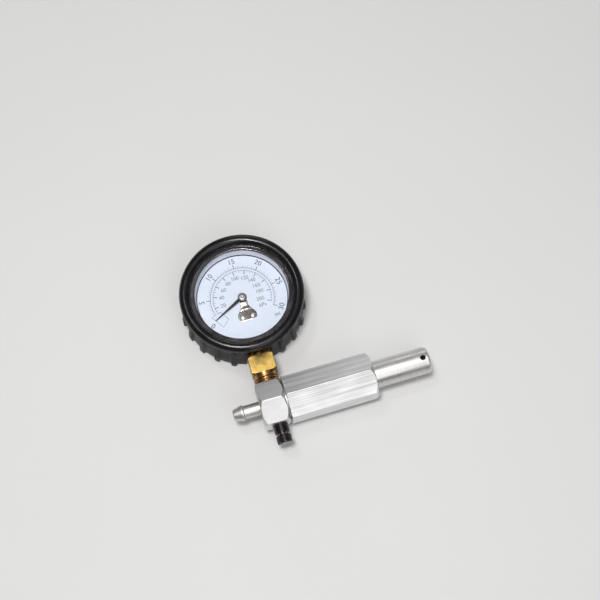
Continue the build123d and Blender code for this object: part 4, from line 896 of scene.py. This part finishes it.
@dataclass(frozen=True)
class BrassSocket:
    """The brass socket: pipe thread, square for the spanner, neck, and the block inside the case."""

    thread_radius: float = 6.58
    thread_pitch: float = 1.337
    thread_depth: float = 0.8
    thread_start: float = 3.5
    thread_end: float = 15.3
    thread_turn: int = 72
    thread_steps: int = 170
    tooth_top: float = 1.5
    tooth_flank: float = 2.6
    relief_radius: float = 5.98
    relief_lip: float = 0.18
    square_start: float = 16.5
    square_end: float = 25.9
    square_flats: float = 13.1
    square_corner: float = 1.5
    square_round: float = 0.3
    square_slope: float = 0.5
    neck_radius: float = 5.2
    neck_end: float = 31.8
    tongue: tuple[Place, Place] = ((-5.5, 31.6, -5.4), (5.5, 34.6, 1.3))
    case_wall: float = 0.8
    block_half: float = 6.5
    block_start: float = -24.7
    ledge_end: float = -17.3
    foot_top: float = -5.2
    edge: float = 0.14

    def thread(self) -> np.ndarray:
        """A turned line whose radius follows a rounded saw-tooth that climbs one pitch a turn.

        Returns:
            Points in metres from the port's floor to the end of the neck, (angles, n, 3).
        """
        angles = even_turn(self.thread_turn)
        along = np.linspace(self.thread_start, self.thread_end, self.thread_steps)
        phase = (along[None, :] / self.thread_pitch - angles[:, None] / FULL_TURN) % 1
        tooth = np.clip(self.tooth_top - self.tooth_flank * np.abs(2 * phase - 1), 0, 1)
        ramp_in = np.clip((along - self.thread_start) / self.thread_pitch, 0, 1)
        ramp_out = np.clip((self.thread_end - along) / self.thread_pitch, 0, 1)
        radius = self.thread_radius - self.thread_depth * (1 - tooth * ramp_in * ramp_out)
        thread = np.stack([np.broadcast_to(along, radius.shape), radius], axis=-1)
        neck = soften(np.array([
            (self.thread_end, self.relief_radius - self.relief_lip),
            (self.square_start + 1, self.relief_radius), (self.square_end - 1, self.neck_radius),
            (self.neck_end, self.neck_radius), (self.neck_end, 0),
        ]), self.edge)
        start = same_for_all([(self.thread_start, 0)], len(angles))
        return STEM.turn(np.concatenate([start, thread, same_for_all(neck, len(angles))], axis=1), angles)

    def blocks(self) -> np.ndarray:
        """The tongue and the two steps of the block in the case, each by two opposite corners."""
        head_x, head_y, pump_z = HEAD.origin
        tongue = np.array(PUMP.origin) + np.array(self.tongue) * MM
        left, right = head_x - self.block_half * MM, head_x + self.block_half * MM
        low = (left, head_y + self.block_start * MM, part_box("gauge_case")[0].z + self.case_wall * MM)
        ledge = (right, head_y + self.ledge_end * MM, tongue[1][2])
        foot = (right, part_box("gauge_socket")[1].y, pump_z + self.foot_top * MM)
        return np.array([tongue, (low, ledge), (low, foot)])

    def build(self) -> None:
        """The turned and milled parts of the socket, in one mesh."""
        square = Polygon(4, self.square_flats, self.square_round, math.radians(45)).bar(
            STEM, [(self.square_start, 0)], (self.square_start, self.square_end),
            (self.square_corner, self.square_corner), [(self.square_end, 0)], self.edge, self.square_slope)
        low, high = np.split(self.blocks(), 2, axis=1)
        ring = [(0, 0), (1, 0), (1, 1), (0, 1)]
        pick = np.array([(*corner, level) for level in (0, 1) for corner in ring])
        shell = Shell().grid(self.thread(), 1).grid(square).bars(low + (high - low) * pick)
        put("brass_socket", shell, ("brass", "thread_brass"), "brass", "gauge_socket")


@dataclass(frozen=True)
class Boot:
    """The rubber boot: a fat round lip, a flared wall with ribs, and the slot for the stem."""

    floor: float = -12.817
    back_opening: float = 22.0
    wall: float = 30.6
    back_wall: float = 31.9
    rib: float = 33.3
    rib_count: int = 22
    rib_edge: float = 0.8
    rib_straight: float = 5.0
    rib_top_depth: float = 0.9
    rib_fade: float = 2.4
    rib_crown: float = 2.2
    rib_base: float = 4.0
    lip_height: float = 10.26
    lip_radius: float = 32.57
    lip_round: float = 2.93
    lip_under: float = 5.13
    lip_floor: float = 9.92
    inner: float = 27.74
    shoulder: float = 1.62
    lower_inner: float = 26.22
    back_inner: float = -11.32
    corner: float = 0.8
    slot_half: float = 7.2
    slot_top: float = 6.4
    slot_reach: float = 24.0
    samples_per_rib: int = 26
    wall_steps: int = 12
    under_steps: int = 9
    lip_arc: tuple[float, float, int] = (90, -96, 28)
    fineness: float = 0.003
    edge: float = 0.22

    def section(self) -> np.ndarray:
        """The boot's section as one closed line of (height, radius), starting in the bore."""
        bore = (middle(self.shoulder, self.back_inner), self.lower_inner)
        wall_start = (self.floor + self.rib_straight, self.back_wall)
        wall_end = (self.lip_under, self.wall)
        back = [
            bore, (self.back_inner + self.corner, self.lower_inner),
            (self.back_inner, self.lower_inner - self.corner), (self.back_inner, self.back_opening),
            (self.floor, self.back_opening), (self.floor, self.back_wall - self.rib_edge),
            (self.floor + self.rib_edge, self.back_wall), wall_start,
        ]
        wall = np.linspace(wall_start, wall_end, self.wall_steps)[1:]
        under = np.linspace(wall_end, (self.lip_height, self.lip_radius), self.under_steps)[1:-1]
        lip_centre = (self.lip_height, self.lip_radius - self.lip_round)
        lip = arc_line(lip_centre, self.lip_round, *self.lip_arc)
        inside = [(self.lip_floor, self.inner), (self.shoulder, self.inner),
                  (self.shoulder, self.lower_inner), bore]
        return np.concatenate([back, wall, under, lip, inside])

    def rib_lift(self, heights: np.ndarray, radii: np.ndarray) -> np.ndarray:
        """How far a rib's crown stands out of the wall at each height.

        Args:
            heights: Heights of the section's points.
            radii: Their distances from the dial's line.

        Returns:
            The lift of each point, nothing on the lip and inside.
        """
        rib_top = self.lip_under + self.rib_edge
        at = [self.floor, self.floor + self.rib_edge, self.floor + self.rib_straight, rib_top,
              rib_top + self.rib_fade]
        crown = [self.rib - self.rib_edge, self.rib, self.rib, self.wall + self.rib_top_depth, self.wall - 1]
        lift = np.maximum(np.interp(heights, at, crown) - radii, 0)
        return np.where((radii > self.wall - 1) & (heights < self.lip_height), lift, 0)

    def rib_share(self, angles: np.ndarray) -> np.ndarray:
        """1 on a rib's crown, 0 between ribs, with rounded flanks."""
        step = FULL_TURN / self.rib_count
        first = -math.pi / 2 + step / 2
        away = np.abs((angles - first + step / 2) % step - step / 2) * self.rib
        flank = np.clip((self.rib_base - 2 * away) / (self.rib_base - self.rib_crown), 0, 1)
        return flank * flank * (3 - 2 * flank)

    def slot_cutter(self) -> Shell:
        """The arched opening through which the stem leaves, as a closed block."""
        half, bottom = self.slot_half, self.floor - 2
        round_top = half / 2
        top = self.slot_top - round_top
        arch = np.concatenate([
            [(-half, bottom), (-half, top)],
            arc_line((round_top - half, top), round_top, 180, 90, 9)[1:],
            arc_line((half - round_top, top), round_top, 90, 0, 9),
            [(half, bottom), (-half, bottom)],
        ])
        block = np.stack([np.insert(arch, 1, y, axis=1) for y in (-self.slot_reach, -self.rib - 2)])
        points = np.array(HEAD.origin) + block * MM
        cutter = Shell().grid(points)
        for side in points:
            cutter.add(side[:-1], [list(range(len(side) - 1))])
        return cutter

    def build(self) -> None:
        """Carries the section round, lifts the ribs out of its wall and cuts the slot."""
        profile = soften(self.section(), self.edge)
        lift = self.rib_lift(profile[:, 0], profile[:, 1])
        line = thin(np.column_stack([profile, lift]), self.fineness)
        angles = even_turn(self.rib_count * self.samples_per_rib)
        lines = same_for_all(line[:, :2], len(angles)).copy()
        lines[..., 1] += self.rib_share(angles)[:, None] * line[:, 2]
        mesh = carve(Shell().grid(HEAD.turn(lines, angles)).mesh("rubber_boot_skin"), [self.slot_cutter()])
        dull_below = HEAD.origin[2] + (self.lip_under + self.rib_edge) * MM
        paint_faces(mesh, [face.center.z < dull_below for face in mesh.polygons])
        put("rubber_boot_skin", mesh, ("boot_rubber", "boot_wall"), "boot_rubber", "rubber_boot",
            sharp=SOFT_ANGLE)


def window_half() -> np.ndarray:
    """The right half of the dial's pear-shaped window, from its top to the middle of its base."""
    top = arc_line((0, 0), 1.7, 90, 0, 10)
    side = hermite((2.0, -4.0), (5.1, -10.4), (0, -1), (0, -1), 18)
    shoulder = hermite((5.1, -10.4), (3.4, -12.9), (0, -1), (-1, 0), 12)[1:]
    return np.concatenate([top, side, shoulder, [(0, -12.9)]])


@dataclass(frozen=True)
class Scale:
    """One printed scale.

    The values are the first, the last and the step; the lengths are those of the long, the middle
    and the fine strokes.
    """

    arc: float
    outward: bool
    degrees: float
    values: tuple[float, float, float]
    middle_every: float
    long_every: float
    lengths: tuple[float, float, float]
    arc_paint: int

    @property
    def counted(self) -> np.ndarray:
        """Every value that has a stroke."""
        first, last, step = self.values
        return np.arange(round((last - first) / step) + 1) * step + first


@dataclass(frozen=True)
class DialLabel:
    """A printed number or unit: its text, its place from the dial's centre, its size and its turn."""

    text: str
    radius: float
    angle: float
    height: float
    turn: float = 0.0
    pale: bool = False


@dataclass(frozen=True)
class Dial:
    """The dial: an enamelled plate with a pear-shaped window and two printed scales."""

    radius: float = 25.9
    bottom: float = 2.44
    top: float = 2.84
    edge: float = 0.06
    window_middle: Corner = (0.0, -6.0)
    window_edge: float = 0.2
    rays: int = 181
    rings: int = 9
    print_height: float = 0.02
    letter_share: float = 0.7
    letter_steps: int = 4
    scales: tuple[Scale, Scale] = (
        Scale(16.78, True, 8.0, (1.5, 30, 0.5), 1, 5, (2.18, 1.4, 0.85), 0),
        Scale(15.45, False, 1.1603, (10, 200, 5), 10, 20, (2.18, 1.3, 0.8), 1),
    )
    zero_angle: float = 210.0
    arc_start: float = 199.5
    arc_strokes: int = 160
    arc_width: float = 0.19
    arc_overlap: float = 1.02
    long_width: float = 0.36
    short_width: float = 0.17
    box_radii: tuple[float, ...] = (13.7, 19.3, 18.8, 13.7, 13.7)
    box_turns: tuple[float, ...] = (198.9, 198.9, 223.5, 223.5, 198.9)
    box_line: float = 0.18
    number_height: float = 2.75
    small_height: float = 2.0
    unit_height: float = 1.8
    far_numbers: tuple[tuple[int, float, float], ...] = (
        (0, 21.64, -149.7), (5, 21.36, 171.6), (10, 21.01, 130.4), (15, 21.01, 90.2), (20, 21.34, 51.3),
        (25, 21.17, 10.1),
    )
    near_numbers: tuple[tuple[int, float, float], ...] = (
        (20, 10.82, -172.9), (40, 10.91, 163.6), (60, 10.78, 140.6), (80, 10.95, 118.0),
        (100, 11.4, 94.1), (120, 11.29, 67.6), (140, 11.12, 47.1), (160, 10.25, 27.2),
        (180, 9.94, 6.5), (200, 9.52, -18.9),
    )

    def plate(self) -> None:
        """Four grids: top, bottom, the round edge and the window's wall."""
        right = window_half()
        left = right[::-1] * np.array([-1, 1])
        outline = spread_evenly(soften(np.concatenate([right, left[1:]]), self.window_edge), self.rays)
        outline[-1] = outline[0]
        centre = np.array(self.window_middle)
        rays = outline - centre
        rays /= np.linalg.norm(rays, axis=1)[:, None]
        along = rays @ centre
        reach = -along + np.sqrt(along**2 + self.radius**2 - centre @ centre)
        rim = centre + rays * reach[:, None]
        share = np.linspace(0, 1, self.rings)[:, None, None]
        sheet = outline * (1 - share) + rim * share
        shell = Shell().grid(HEAD.flat(sheet, self.top)).grid(HEAD.flat(sheet, self.bottom))
        levels = np.array([self.bottom, self.bottom + self.edge, self.top - self.edge, self.top])
        for line in (outline, rim):
            shell.grid(HEAD.flat(np.stack([line] * len(levels)), levels[:, None]))
        put("dial_face", shell, "dial_white", "dial_white", "dial_plate")

    def printed(self, flat: np.ndarray) -> np.ndarray:
        """Strokes of ink on the dial, (n, 8, 3), from their outlines in its plane, (n, 4, 2)."""
        levels = (self.top, self.top + self.print_height)
        return np.concatenate([HEAD.flat(flat, level) for level in levels], axis=1)

    def ticks(self, angles: np.ndarray, start: np.ndarray | float, end: np.ndarray | float,
              width: np.ndarray | float) -> np.ndarray:
        """Printed strokes that point at the dial's centre.

        Args:
            angles: Each stroke's angle in degrees.
            start: Distance of its inner end from the centre.
            end: Distance of its outer end.
            width: Its width.

        Returns:
            Eight corners of each stroke in metres, (n, 8, 3).
        """
        turn = np.radians(angles)[:, None]
        far = np.stack(np.broadcast_arrays(start, end, end, start, angles)[:4], axis=-1)
        half = np.broadcast_to(width, angles.shape)[:, None] / 2 * np.array([-1, -1, 1, 1])
        across, upward = np.cos(turn), np.sin(turn)
        return self.printed(np.stack([far * across - half * upward, far * upward + half * across], axis=-1))

    def print_scales(self) -> None:
        """Both scales: fine, middle and long strokes, and then the two arcs."""
        shell = Shell()
        for scale in self.scales:
            values = scale.counted
            is_long = np.isclose(values % scale.long_every, 0)
            is_middle = np.isclose(values % scale.middle_every, 0)
            most, medium, least = scale.lengths
            length = np.where(is_long, most, np.where(is_middle, medium, least))
            width = np.where(is_long, self.long_width, self.short_width)
            start = scale.arc if scale.outward else scale.arc - length
            end = scale.arc + length if scale.outward else scale.arc
            strokes = self.ticks(self.zero_angle - scale.degrees * values, start, end, width)
            shell.bars(strokes[is_long]).bars(strokes[~is_long], 1)
        for scale in self.scales:
            full = self.zero_angle - scale.degrees * scale.values[1]
            step = (full - self.arc_start) / self.arc_strokes
            angles = self.arc_start + step * (np.arange(self.arc_strokes) + 0.5)
            long = abs(math.radians(step)) * scale.arc * self.arc_overlap
            half = self.arc_width / 2
            shell.bars(self.ticks(angles, scale.arc - half, scale.arc + half, long), scale.arc_paint)
        put("dial_scales", shell, ("ink", "pale_ink"), "pointer_black")

    def zero_box(self) -> None:
        """The outlined box that the resting pointer stands in, with two sides towards the centre."""
        radii, turns = np.array(self.box_radii), np.radians(self.box_turns)
        corners = np.stack([radii * np.cos(turns), radii * np.sin(turns)], axis=-1)
        way = np.diff(corners, axis=0)
        way *= self.box_line / 2 / np.linalg.norm(way, axis=1)[:, None]
        side = np.stack([-way[:, 1], way[:, 0]], axis=-1)
        first, second = corners[:-1] - way, corners[1:] + way
        flat = np.stack([first - side, second - side, second + side, first + side], axis=1)
        put("zero_box", Shell().bars(self.printed(flat)), "pale_ink", "pointer_black")

    def labels(self) -> list[DialLabel]:
        """Every printed number and unit."""
        small = (self.small_height, 0.0, True)
        outer = [DialLabel(str(value), radius, angle, self.number_height, angle - 90)
                 for value, radius, angle in self.far_numbers]
        inner = [DialLabel(str(value), radius, angle, *small) for value, radius, angle in self.near_numbers]
        return outer + [DialLabel("30", 21.12, -29.3, self.number_height, -29.3 + 90)] + inner + [
            DialLabel("kPa", 11.52, -34.9, *small), DialLabel("psi", 20.67, -42.4, self.unit_height)]

    def letter(self, label: DialLabel, shell: Shell) -> None:
        """Sets one label: its letters are made a mesh, sized by a nought, turned and placed."""
        curve = bpy.data.curves.new("letters", "FONT")
        curve.body = label.text
        curve.size = label.height / self.letter_share
        curve.extrude = self.print_height / 2
        curve.resolution_u = self.letter_steps
        holder = stand("letters", curve)
        points, faces = contents(final_mesh(holder))
        bpy.data.objects.remove(holder)
        flat = points[:, :2] - (points[:, :2].min(axis=0) + points[:, :2].max(axis=0)) / 2
        turn, angle = math.radians(label.turn), math.radians(label.angle)
        across = np.array([math.cos(turn), math.sin(turn)])
        upward = np.array([-math.sin(turn), math.cos(turn)])
        at = label.radius * np.array([math.cos(angle), math.sin(angle)])
        flat = flat[:, :1] * across + flat[:, 1:] * upward + at
        shell.add(HEAD.flat(flat, self.top + self.print_height / 2 + points[:, 2]), faces, int(label.pale))

    def numbers(self) -> None:
        """All labels in one printed piece."""
        shell = Shell()
        for label in self.labels():
            self.letter(label, shell)
        put("dial_numbers", shell, ("ink", "pale_ink"), "pointer_black")

    def build(self) -> None:
        """The plate and everything printed on it."""
        self.plate()
        self.print_scales()
        self.zero_box()
        self.numbers()


@dataclass(frozen=True)
class Bridge:
    """What shows in the dial's window: a pressed bridge with a fold, and its two screws."""

    margin: float = 0.18
    top: float = -1.6
    base: float = -12.7
    fold: float = -6.7
    bed: float = 1.74
    least_thickness: float = 0.01
    pan_height: float = 1.95
    fold_rise: float = 0.2
    fold_width: float = 0.45
    neck_start: float = -4.6
    neck_end: float = -2.3
    neck_rise: float = 0.28
    crown: float = 0.06
    lip: float = 0.14
    lip_width: float = 0.7
    drops: int = 64
    columns: int = 33
    screw_spacing: float = 5.3
    screw_drop: float = 10.5
    screw_radius: float = 1.35
    screw_bottom: float = 1.72
    screw_side: float = 0.2
    screw_top: float = 2.5
    slot_width: float = 0.34
    slot_depth: float = 0.3
    slot_turn: float = 40.0
    slot_reach: float = 1.3
    screw_turn: int = 40

    def plate(self) -> None:
        """A pressed sheet: a crowned neck that climbs to the hub, a pan below it and a curled base."""
        half = window_half()
        half = half[np.concatenate([[True], np.diff(half[:, 1]) < -1e-6])]
        drop = np.linspace(self.top, self.base, self.drops)
        width = np.interp(-drop, -half[:, 1], half[:, 0]) - self.margin
        across = np.linspace(-1, 1, self.columns)
        near_base = np.clip((self.base + self.lip_width - drop) / self.lip_width, 0, 1)
        at = [self.fold, self.fold + self.fold_width, self.neck_start, self.neck_end]
        rise = np.interp(drop, at, [0, self.fold_rise, self.fold_rise, self.fold_rise + self.neck_rise])
        height = self.pan_height + rise - self.lip * near_base**2
        level = np.maximum(height[:, None] - self.crown * across**4, self.bed + self.least_thickness)
        points = np.stack([width[:, None] * across, np.broadcast_to(drop[:, None], level.shape)], axis=-1)
        low = np.full(level.shape, self.bed)
        shell = Shell().grid(HEAD.flat(points, level)).grid(HEAD.flat(points, low))
        for side in (np.s_[0], np.s_[-1], np.s_[:, 0], np.s_[:, -1]):
            shell.grid(HEAD.flat(np.stack([points[side]] * 2), np.stack([level[side], low[side]])))
        put("movement_bridge", shell, "chrome", "chrome")

    def screws(self) -> None:
        """Two domed heads with slots, each set as it was left."""
        shell = Shell()
        start = (self.screw_bottom + self.screw_side, 0)
        dome = arc_line(start, 1, 90, 0, 7) - start
        dome *= (self.screw_top - start[0], self.screw_radius)
        foot = [(self.screw_bottom, 0), (self.screw_bottom, self.screw_radius)]
        line = np.concatenate([foot, dome + start])
        for side in (-1, 1):
            shift = np.array([side * self.screw_spacing / 2, -self.screw_drop, 0])
            centre = np.array(HEAD.origin) + shift * MM
            spindle = Spindle(tuple(centre), HEAD.along, HEAD.across)
            head = Shell().grid(spindle.turn(line, even_turn(self.screw_turn))).mesh("head")
            turn = math.radians(side * self.slot_turn)
            along = np.array([math.cos(turn), math.sin(turn)])
            aside = np.array([-along[1], along[0]]) * self.slot_width / 2
            reach = along * self.screw_radius * self.slot_reach
            flat = np.array([-reach - aside, reach - aside, reach + aside, -reach + aside])
            low = spindle.flat(flat, self.screw_top - self.slot_depth)
            slot = Shell().bars(np.concatenate([low, spindle.flat(flat, self.screw_top + 1)])[None])
            shell.add(*contents(carve(head, [slot])))
        put("bridge_screws", shell, "bright_steel", "chrome", "plate_screws")

    def build(self) -> None:
        """The bridge and its screws."""
        self.plate()
        self.screws()


@dataclass(frozen=True)
class Pointer:
    """The pointer: a tapered blade, a domed hub and the bright pin in the middle."""

    rest_angle: float = 207.5
    length: float = 18.9
    tail: float = 2.3
    width: float = 1.9
    tip_width: float = 0.3
    blade_bottom: float = 3.8
    blade_top: float = 4.15
    tail_turns: tuple[float, ...] = (0, 25, 50, 75, 90)
    ridge: tuple[Corner, ...] = ((0, 0), (-1, 0), (-1, 0.6), (-0.82, 0.95), (0, 1), (0.82, 0.95), (1, 0.6),
                                 (1, 0), (0, 0))
    hub_radius: float = 2.3
    hub_bottom: float = 3.5
    hub_top: float = 4.7
    hub_rim: float = 0.5
    hub_shoulder: Corner = (0.1, 0.72)
    hub_edge: float = 0.16
    hub_turn: int = 64
    bore: float = 0.62
    pin_radius: float = 0.65
    pin_top: float = 5.2
    pin_collar: float = 1.6
    pin_dome: Corner = (0.2, 0.55)
    pin_edge: float = 0.1
    pin_turn: int = 48

    def blade(self) -> None:
        """A flat blade that narrows to its tip and ends in a round tail, with a low ridge along it."""
        turns = np.radians(self.tail_turns)
        round_end = self.width / 2 * (1 - np.cos(turns))
        along = np.concatenate([round_end - self.tail, [0, self.length / 2, self.length, self.length]])
        half = np.interp(along, [0, self.length], [self.width, self.tip_width]) / 2
        half[:len(turns)] *= np.sin(turns)
        half[-1] = 0
        across, levels = np.array(self.ridge).T
        turn = math.radians(self.rest_angle)
        side = half[:, None] * across
        flat = np.stack([along[:, None] * math.cos(turn) - side * math.sin(turn),
                         along[:, None] * math.sin(turn) + side * math.cos(turn)], axis=-1)
        thickness = self.blade_top - self.blade_bottom
        heights = np.broadcast_to(self.blade_bottom + thickness * levels, side.shape)
        put("pointer_blade", Shell().grid(HEAD.flat(flat, heights)), "pointer_black", "pointer_black",
            "pointer", body=Body.POINTER, sharp=RIDGE_ANGLE)

    def hub(self) -> None:
        """The hub, a low dome with a raised ring, and the pin over the arbor."""
        seam = (middle(self.hub_bottom, self.hub_top), self.bore)
        shoulder_drop, shoulder_share = self.hub_shoulder
        dome_drop, dome_share = self.pin_dome
        hub = [
            seam, (self.hub_bottom, self.bore), (self.hub_bottom, self.hub_radius),
            (self.hub_top - self.hub_rim, self.hub_radius),
            (self.hub_top - shoulder_drop, self.hub_radius * shoulder_share),
            (self.hub_top, self.pin_radius * self.pin_collar), (self.hub_top, self.bore), seam,
        ]
        put("pointer_hub", turned_shell(HEAD, hub, self.hub_edge, self.hub_turn), "hub_steel",
            "pointer_black", body=Body.POINTER)
        pin = [
            (self.hub_top, 0), (self.hub_top, self.pin_radius), (self.pin_top - dome_drop, self.pin_radius),
            (self.pin_top, self.pin_radius * dome_share), (self.pin_top, 0),
        ]
        put("pointer_pin", turned_shell(HEAD, pin, self.pin_edge, self.pin_turn), "bright_steel", "chrome",
            "pointer_cap", body=Body.POINTER)

    def build(self) -> None:
        """Blade, hub and pin."""
        self.blade()
        self.hub()


@dataclass(frozen=True)
class Front:
    """What closes the dial: white spacer, clear lens and dark bezel."""

    spacer_inner: float = 24.95
    spacer_foot: float = 24.15
    spacer_outer: float = 26.18
    foot_width: float = 0.46
    foot_height: float = 0.42
    dial_top: float = 2.84
    rim: float = 7.3
    lens_radius: float = 26.9
    lens_bottom: float = 7.6
    lens_top: float = 9.2
    opening: float = 24.48
    opening_fall: float = 0.28
    opening_slope: float = 0.35
    bezel_inner: float = 27.02
    bezel_outer: float = 27.72
    bezel_top: float = 9.9
    bezel_low: float = 5.7
    bezel_edge: float = 0.4
    spacer_soft: float = 0.06
    lens_soft: float = 0.12
    bezel_soft: float = 0.16
    spacer_turn: int = 160
    bezel_turn: int = 200

    def spacer(self) -> None:
        """The spacer, and a painted shadow at its foot: a black ring where it stands on the dial."""
        foot = self.dial_top + self.foot_height
        ring = [(foot, self.spacer_foot), (self.rim, self.spacer_inner), (self.rim, self.spacer_outer),
                (self.dial_top, self.spacer_outer), (self.dial_top, self.spacer_foot)]
        # painted shadow: a black band at the spacer's foot, standing for the shade in the gap under it
        painted_shadow_ring = np.array([
            (self.dial_top, self.spacer_foot), (self.dial_top, self.spacer_foot - self.foot_width),
            (foot, self.spacer_foot),
        ])
        shell = turned_shell(HEAD, ring, self.spacer_soft, self.spacer_turn)
        shell.grid(HEAD.turn(painted_shadow_ring, even_turn(self.spacer_turn)), 1)
        put("white_spacer", shell, ("white_plastic", "pointer_black"), "white_plastic", "spacer_ring")

    def lens(self) -> None:
        """The clear lens, a plain disc."""
        disc = [(self.lens_bottom, 0), (self.lens_bottom, self.lens_radius),
                (self.lens_top, self.lens_radius), (self.lens_top, 0)]
        put("clear_window", turned_shell(HEAD, disc, self.lens_soft, self.spacer_turn), "clear_lens",
            "clear_lens", "lens")

    def bezel(self) -> None:
        """The bezel, which rests on the lens and reaches down outside it."""
        low = self.lens_top
        seam = (middle(low, self.bezel_low), self.bezel_inner)
        ring = [
            seam, (low, self.bezel_inner), (low, self.opening),
            (self.bezel_top - self.opening_fall, self.opening),
            (self.bezel_top, self.opening + self.opening_slope),
            (self.bezel_top, self.bezel_outer - self.bezel_edge),
            (self.bezel_top - self.bezel_edge, self.bezel_outer), (self.bezel_low, self.bezel_outer),
            (self.bezel_low, self.bezel_inner), seam,
        ]
        put("dark_bezel", turned_shell(HEAD, ring, self.bezel_soft, self.bezel_turn), "dark_chrome",
            "painted_steel", "bezel_ring")

    def build(self) -> None:
        """Three turned pieces."""
        self.spacer()
        self.lens()
        self.bezel()


NODE_FINISHES = {
    "brass": ("check_seat", "plate_pillars", "sector_gear", "link_bar", "tube_tip", "hairspring_stud"),
    "bronze": ("bourdon_tube", "hairspring"),
    "painted_steel": ("gauge_case",),
    "chrome": ("rear_plate", "front_plate"),
    "rubber": ("poppet_seal", "lens_gasket", "piston_seal", "piston_bumper"),
    "turned_aluminium": ("piston_head",),
    "steel": ("check_ball", "check_spring", "button_stem", "button_spring", "inlet_ball",
              "inlet_ball_retainer", "return_spring", "case_screws", "base_screws", "sector_arbor",
              "pinion_arbor"),
}


def dress_nodes() -> None:
    """Gives every solid that is shown as it is its finish."""
    for finish, names in NODE_FINISHES.items():
        for name in names:
            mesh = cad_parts[name].data
            mesh.materials.clear()
            mesh.materials.append(paint(finish))
        log.info("%s on %s", finish, ", ".join(names))


@dataclass(frozen=True)
class Camera:
    """The photograph's view: where it looks, from how far, and how it is turned."""

    target: Place = (0.0040, 0.01454, 0.013)
    distance: float = 0.58451
    elevation: float = 70.667
    heading: float = -107.316
    roll: float = 0.6594
    lens: float = 66.4637
    sensor: float = 36.0

    def build(self) -> None:
        """Stands the camera on a sphere round its target and turns it about its own line."""
        rise, heading, roll = (math.radians(angle) for angle in (self.elevation, self.heading, self.roll))
        level_share = math.cos(rise)
        back = Vector((level_share * math.cos(heading), level_share * math.sin(heading), math.sin(rise)))
        level = Vector((0, 0, 1)).cross(back).normalized()
        right = level * math.cos(roll) + back.cross(level) * math.sin(roll)
        place = Matrix((right, back.cross(right), back)).transposed().to_4x4()
        place.translation = Vector(self.target) + back * self.distance
        data = bpy.data.cameras.new("camera")
        data.lens = self.lens
        data.sensor_width = self.sensor
        data.sensor_height = self.sensor
        camera = stand("camera", data)
        camera.matrix_world = place
        bpy.context.scene.camera = camera


@dataclass(frozen=True)
class SoftBox:
    """A square soft light that stands off in one direction and faces the object."""

    name: str
    direction: Place
    distance: float
    size: float
    power: float
    colour: Colour = (1.0, 1.0, 1.0)

    def build(self) -> None:
        """Hangs the light and turns its face to the object."""
        data = bpy.data.lights.new(self.name, "AREA")
        data.shape = "SQUARE"
        data.size = self.size
        data.energy = self.power
        data.color = self.colour
        light = stand(self.name, data)
        way = Vector(self.direction).normalized()
        light.location = way * self.distance
        light.rotation_euler = way.to_track_quat("Z", "Y").to_euler()


@dataclass(frozen=True)
class Studio:
    """Pale floor, grey surroundings and soft lights."""

    lights: tuple[SoftBox, ...] = (
        SoftBox("key", (-0.13, -0.06, 0.97), 1.1, 0.2, 7.4, (1.0, 0.99, 0.97)),
        SoftBox("overhead", (0.04, -0.156, 0.988), 1.2, 1.0, 2.2, (0.99, 0.99, 1.0)),
        SoftBox("front", (0.12, -0.70, 0.70), 1.2, 0.6, 2.0),
        SoftBox("spark", (-0.20, 0.316, 0.93), 1.1, 0.1, 0.9),
        SoftBox("back", (0.25, 0.85, 0.40), 1.3, 0.5, 1.2),
    )
    floor_colour: Colour = (0.70, 0.70, 0.70)
    floor_size: float = 3.0
    room_colour: Colour = (0.97, 0.98, 1.0)
    room_strength: tuple[float, float] = (0.10, 0.18)

    def floor(self) -> None:
        """A pale floor with a barely seen mottle."""
        brush = Brush(bpy.data.materials.new("floor"))
        clouds = brush.spread(brush.noise(9.0, detail=3.0), 0, 1)
        tone = brush.blend(clouds, shade(self.floor_colour, 0.985), self.floor_colour)
        half = self.floor_size / 2
        corners = [(-half, -half, 0), (half, -half, 0), (half, half, 0), (-half, half, 0)]
        mesh = bpy.data.meshes.new("floor")
        mesh.from_pydata(corners, [], [[0, 1, 2, 3]])
        mesh.materials.append(brush.done(brush.node("BsdfPrincipled", Base_Color=tone, Roughness=0.7)))
        floor = stand("floor", mesh)

    def surroundings(self) -> None:
        """A grey room that is darker towards the horizon."""
        brush = Brush(bpy.data.worlds.new("room"))
        height = brush.node("SeparateXYZ", brush.coordinates["Generated"]).outputs["Z"]
        strength = brush.spread(height, *self.room_strength, 0.0, 0.9)
        room = brush.node("Background", Color=self.room_colour, Strength=strength)
        bpy.context.scene.world = brush.done(room, "OutputWorld")

    def build(self) -> None:
        """Floor, room and lights."""
        self.floor()
        self.surroundings()
        for light in self.lights:
            light.build()


def main() -> None:
    """Builds every assembly in order and reports each one."""
    logging.basicConfig(level=logging.INFO, format="%(name)s: %(message)s")
    for assembly in (HexagonBlock(), HexagonBarrel(), Plunger(), HoseBarb(), BleedValve(), BrassSocket(),
                     Boot(), Dial(), Bridge(), Pointer(), Front()):
        assembly.build()
        log.info("%s done", type(assembly).__name__)
    dress_nodes()
    bpy.context.scene.view_settings.view_transform = "Standard"
    Camera().build()
    Studio().build()


if __name__ == "__main__":
    main()
